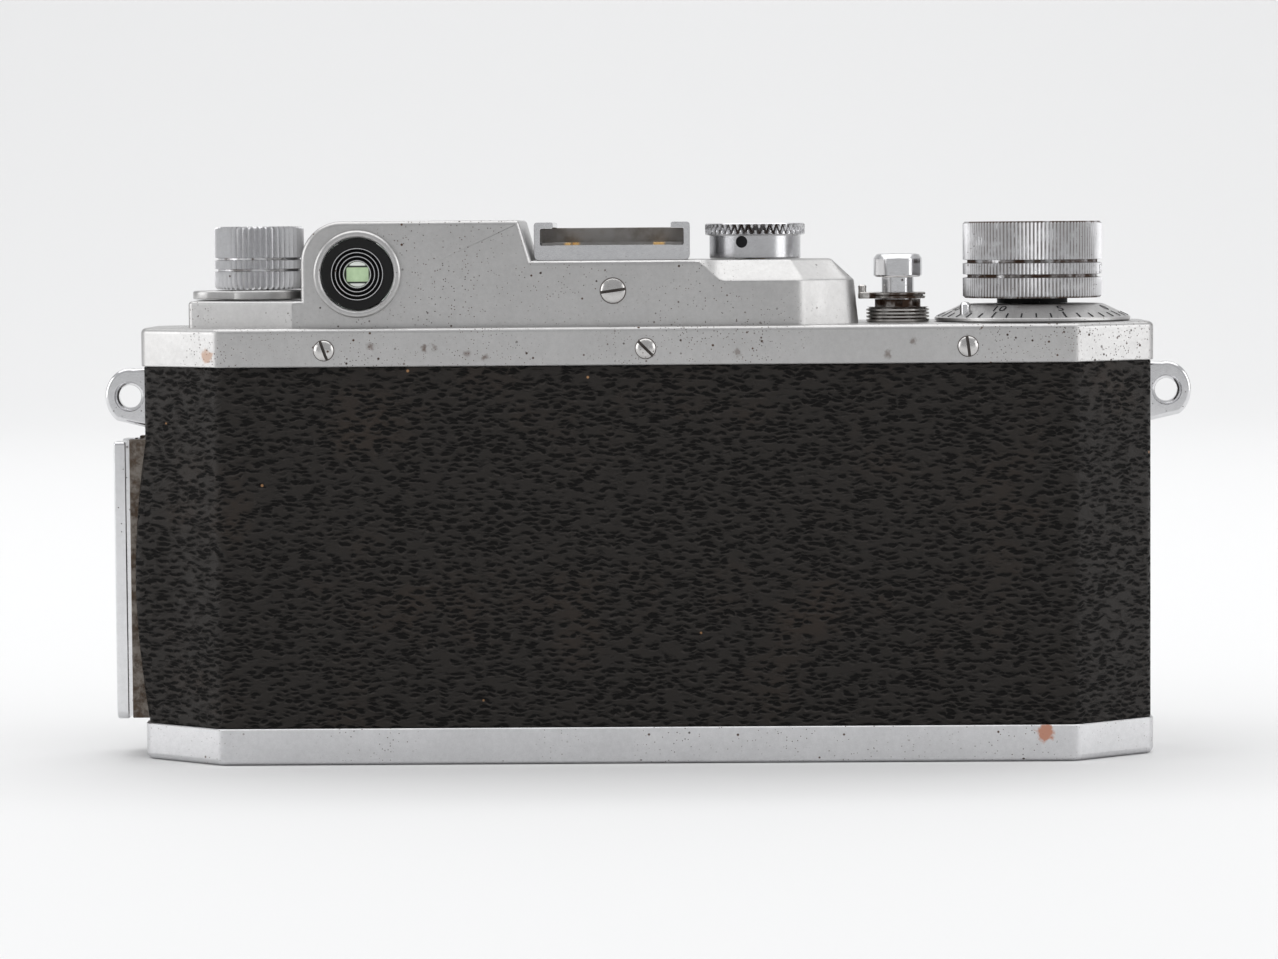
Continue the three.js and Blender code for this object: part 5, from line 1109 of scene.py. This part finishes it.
# ---- lens, mount and front dial
def lens_mount():
    low, high = span("lens_mount_ring")
    inner, outer = 19.5, 24.2
    flange = [(inner, low.y), (outer, low.y), (outer, high.y - 0.3), (outer - 0.6, high.y), (inner, high.y)]
    ring = lathe(soften(flange, 0.25, steps=3), LENS, "y", 160, loop=True)
    piece("lens_mount_turned", ring, "bright", "lens_mount_ring")


def lens_base():
    low, high = span("lens_base")
    seat = span("lens_mount_ring")[1].y
    front = seat + 4.4
    bore, thread, sleeve, body, waist, collar_radius = 17.1, 19.2, 19.0, 21.6, 20.9, 21.4
    profile = [(bore, low.y), (thread, low.y), (thread, seat), (body, seat), (body, front - 1.2),
               (waist, front - 0.9), (waist, front - 0.6), (collar_radius, front - 0.4),
               (collar_radius, front), (sleeve, front), (sleeve, high.y), (bore, high.y)]
    ring = lathe(soften(profile, 0.12, steps=2), LENS, "y", 128, loop=True)
    piece("lens_base_turned", ring, "bright", "lens_base")


def focusing_ring():
    low, high = span("focus_ring")
    outer, inner, groove = 23.4, 19.3, 22.7
    knurl = (low.y + 2.5, high.y - 1.2)
    profile = [(inner, low.y), (outer - 0.3, low.y), (outer, low.y + 0.3), (outer, low.y + 1.7),
               (groove, low.y + 1.9), (groove, low.y + 2.3), (outer, knurl[0]), (outer, knurl[1]),
               (22.6, high.y - 0.9), (22.4, high.y), (inner, high.y)]
    ring = lathe(profile, LENS, "y", loop=True, teeth=110, knurls=[knurl], depth=0.32)
    half_y = (low.y + high.y) / 2
    tab = box((22.2, half_y - 2.5, -4), (27.4, half_y + 2.5, 4), 0.8)
    well = rod((half_y, 0), 1.75, 24.8, 30, "x", 32)
    place = shift(LENS.x, 0, LENS.y) @ spin(math.radians(50), "Y")
    ring = cut(union(ring, moved(tab, place)), moved(well, place))
    piece("focus_ring_knurled", ring, "bright", "focus_ring")
    cap = soften([(1.6, 26.8), (1.6, 28.6), (1.3, 29.0), (0.02, 29.1)], 0.15, closed=False)
    button = moved(lathe(cap, (half_y, 0), "x", 32), place)
    piece("infinity_button_turned", button, "bright", "infinity_button")


def lens_barrel():
    low, high = span("lens_barrel")
    head = span("focus_ring")[1].y + 0.1
    groove = head + 2.8
    rim = groove + 3.2
    bore, tube, outer, seat, front, throat = 13.8, 16.8, 19.4, 17.5, 18.6, 12.2
    funnel = [(17.2, 0), (16.6, 0.5), (16.2, 0.7), (15.4, 1.3), (14.6, 1.7), (13.8, 2.3), (13.0, 2.7),
              (throat, 3.2)]
    profile = [(bore, low.y), (tube, low.y), (tube, head), (outer - 0.3, head), (outer, head + 0.3),
               (outer, groove - 0.2), (outer - 0.2, groove), (seat, groove), (seat, rim), (front, rim),
               (front, high.y - 0.5), (front - 0.4, high.y)]
    profile += [(radius, high.y - depth) for radius, depth in funnel]
    profile += [(throat, low.y + 3), (bore, low.y + 3)]
    piece("lens_barrel_turned", lathe(profile, LENS, "y", 128, loop=True), "bright", "lens_barrel")


def aperture_ring():
    low, high = span("aperture_ring")
    inner, outer, edge = 17.8, 19.8, 0.3
    profile = [(inner, low.y), (outer - edge, low.y), (outer, low.y + edge), (outer, high.y - edge),
               (outer - edge, high.y), (inner, high.y)]
    ring = lathe(profile, LENS, "y", loop=True, teeth=96, knurls=[(low.y + edge, high.y - edge)], depth=0.25)
    piece("aperture_ring_knurled", ring, "bright", "aperture_ring")


def front_glass():
    low, high = span("front_glass")
    radius, edge, steps = 11.9, low.y + 2.0, 16
    dome = [(radius * p.x, edge + (high.y - edge) * p.y) for p in arc(1, 0, math.pi / 2, steps)[:-1]]
    piece("front_glass_ground", lathe([(radius, low.y)] + dome, LENS, "y"), "glass", "front_glass")


def slow_dial():
    low, high = span("slow_speed_dial")
    at = middle("slow_speed_dial")
    rear = span("leather_covering")[1].y - 0.6
    shaft, radius = 1.5, 6.2
    knurl = (rear + 0.2, high.y - 1.3)
    profile = [(shaft, low.y), (shaft, rear), (radius - 0.2, rear), (radius, knurl[0]), (radius, knurl[1]),
               (radius - 0.3, high.y - 1.1), (5.3, high.y - 0.2), (4.9, high.y)]
    mesh = lathe(profile, (at.x, at.z), "y", teeth=48, knurls=[knurl], depth=0.3)
    piece("slow_speed_dial_knurled", mesh, "satin", "slow_speed_dial")


# ---- underside
def lock():
    low, high = span("lock_disc")
    key_low, key_high = span("lock_key")
    disc_radius, flange_radius, pocket_radius, key_radius = 8.0, 9.2, 6.7, 6.4
    flange = low.z + 0.95
    profile = [(disc_radius - 0.1, low.z), (disc_radius, low.z + 0.1), (disc_radius, flange),
               (flange_radius, flange), (flange_radius, flange + 0.9)]
    disc = lathe(soften(profile, 0.05, closed=False, steps=2), (REWIND_X, 0))
    bar = box((REWIND_X - 7.5, -1.8, flange + 0.5), (REWIND_X + 7.5, 1.8, high.z))
    centre = (REWIND_X, 0)
    half = [Vector((REWIND_X - pocket_radius, -0.9)), Vector((REWIND_X + pocket_radius, -0.9))]
    half += arc(pocket_radius, 0, math.pi, 24, centre)[1:-1]
    pocket = prism(half, low.z - 1, key_high.z + 0.25, "z", (0, 0))
    piece("lock_disc_turned", cut(union(disc, bar), pocket), "satin", "lock_disc")

    plate = prism(arc(key_radius, 0, math.pi, 36, centre), key_low.z, key_high.z, "z", (0.18, 0.18), 3)
    finger_hole = rod((REWIND_X, 3), 1.7, key_low.z - 1, key_high.z + 1)
    hinge = rod((0, middle("lock_key").z), 0.42, REWIND_X - 5.65, REWIND_X + 5.65, "x", 24)
    piece("lock_key_pressed", cut(union(plate, hinge), finger_hole), "bright", "lock_key")


def tripod_bush():
    _, high = span("tripod_bush")
    bore, outer, flange, root, pitch = 4.75, 7.2, 8.4, 5.25, 1.1
    profile = [(bore, 0.55), (5.3, 0), (outer - 0.1, 0), (outer, 0.1), (outer, SHEET), (flange, SHEET),
               (flange, SHEET + 0.9), (outer, SHEET + 0.9), (outer, high.z), (0.02, high.z),
               (0.02, high.z - 1), (bore, high.z - 1)]
    z = high.z - 1.3
    while z > SHEET:
        profile += [(root, z), (bore, z - pitch / 2)]
        z -= pitch
    return lathe(profile, (WIND_X, 0), sides=64, loop=True)


# ---- the whole camera
piece("top_plate_pressed", top_plate(), "top", "top_plate")
piece("base_plate_pressed", base_plate(), "base", "base_plate")
piece("leather_band", covering(), "leather", "leather_covering")
piece("finder_housing_cast", housing(), "housing", "finder_housing")
eyepiece()
shoe()
for node, turn in (("top_screw_left", -70), ("top_screw_middle", -45), ("top_screw_right", -82)):
    piece(node + "_turned", screw(node, turn, 1.45, -FACE), "top_screw", node)
housing_screw = screw("housing_screw", 8, 1.8, -HOUSING_FACE)
piece("housing_screw_turned", housing_screw, "housing_screw", "housing_screw")
for name, side in (("left", -1), ("right", 1)):
    piece(f"strap_lug_{name}_forged", lug(side), "bright", f"strap_lug_{name}")
flash_rail()
wind_knob = knob("wind_knob", WIND_RADIUS, 0.3, (2.79, 4.81), groove=(0.62, 0.52), teeth=112, tooth=0.2)
piece("wind_knob_knurled", wind_knob, "wind", "wind_knob")
piece("wind_knob_clip", wind_clip(), "bright", rides="wind_knob")
piece("wind_shaft_turned", collar(), "enamel", "wind_shaft")
counter()
speed_dial()
rewind_knob = knob("rewind_knob", REWIND_RADIUS, 0.35, (2.45, 4.0), groove=(0.55, 0.4), teeth=46, tooth=0.5)
piece("rewind_knob_knurled", rewind_knob, "rewind", "rewind_knob")
piece("selector_lever_turned", selector(), "satin", "selector_lever")
release()
piece("reversing_lever_turned", reversing_lever(), "collar", "reversing_lever")
lens_mount()
lens_base()
focusing_ring()
lens_barrel()
aperture_ring()
front_glass()
slow_dial()
lock()
piece("tripod_bush_threaded", tripod_bush(), "bright", "tripod_bush")

# The CAD nodes that stay as they are get their finish and slightly broken edges.
for node, thing in frame["nodes"].items():
    if thing.hide_render:
        continue
    dress(thing.data, NODE_FINISH.get(node, SLOT_FINISH[node_slots[node]]))
    edge = thing.modifiers.new("edges", "BEVEL")
    edge.width = 0.06 * MM
    edge.segments = 2
    edge.limit_method = "ANGLE"


# ---- studio, in metres
FLOOR = -0.00002  # just clear of the camera's underside


def sweep():
    """A pale floor that turns up into a backdrop."""
    width, near, far, bend, tall = 6.0, -3.0, 2.2, 1.2, 3.5
    curve = arc(bend, -math.pi / 2, 0, 16, (far - bend, FLOOR + bend))
    path = [(near, FLOOR), *curve, (far, tall)]
    verts = [(side * width / 2, y, z) for y, z in path for side in (-1, 1)]
    faces = [(2 * k, 2 * k + 1, 2 * k + 3, 2 * k + 2) for k in range(len(path) - 1)]
    mesh = bpy.data.meshes.new("sweep")
    mesh.from_pydata(verts, [], faces)
    mesh.shade_smooth()
    mesh.materials.append(Recipe("paper").finish((0.83, 0.83, 0.83, 1), 0.9))
    link(bpy.data.objects.new("sweep", mesh))


def light(name, place, target, size, power):
    lamp = bpy.data.lights.new(name, "AREA")
    lamp.shape = "RECTANGLE"
    lamp.size, lamp.size_y = size
    lamp.energy = power
    thing = link(bpy.data.objects.new(name, lamp))
    thing.location = place
    aim = Vector(target) - Vector(place)
    thing.rotation_euler = aim.to_track_quat("-Z", "Y").to_euler()


def studio():
    sweep()
    world = bpy.data.worlds.new("studio")
    world.use_nodes = True
    background = world.node_tree.nodes["Background"]
    background.inputs["Color"].default_value = (0.98, 0.985, 1.0, 1)
    background.inputs["Strength"].default_value = 0.55
    bpy.context.scene.world = world
    light("overhead", (0.0, 0.1, 1.2), (0, 0, 0.03), (2.0, 1.4), 11)
    light("left", (-1.2, -0.25, 0.35), (0, 0, 0.05), (1.0, 0.8), 4.5)
    light("right", (1.2, -0.3, 0.35), (0, 0, 0.05), (1.0, 0.8), 4)
    light("backdrop", (0.0, 0.9, 1.6), (0, 2.0, 0.5), (2.0, 1.0), 8)


def camera():
    """The photograph's viewpoint: straight behind, a little above and tipped down."""
    yaw, pitch, roll = (math.radians(angle) for angle in (0.814, 3.457, 0.428))
    turns = Matrix.Rotation(-roll, 3, "Y") @ Matrix.Rotation(pitch, 3, "X") @ Matrix.Rotation(-yaw, 3, "Z")
    right, ahead, up = turns
    view = bpy.data.cameras.new("view")
    view.lens = 116.8
    view.sensor_width = 36
    thing = link(bpy.data.objects.new("view", view))
    axes = Matrix((right, up, -ahead)).transposed()
    thing.matrix_world = shift(0.00699, -0.5797, 0.07307) @ axes.to_4x4()
    bpy.context.scene.camera = thing


studio()
camera()
bpy.context.scene.view_settings.view_transform = "Standard"
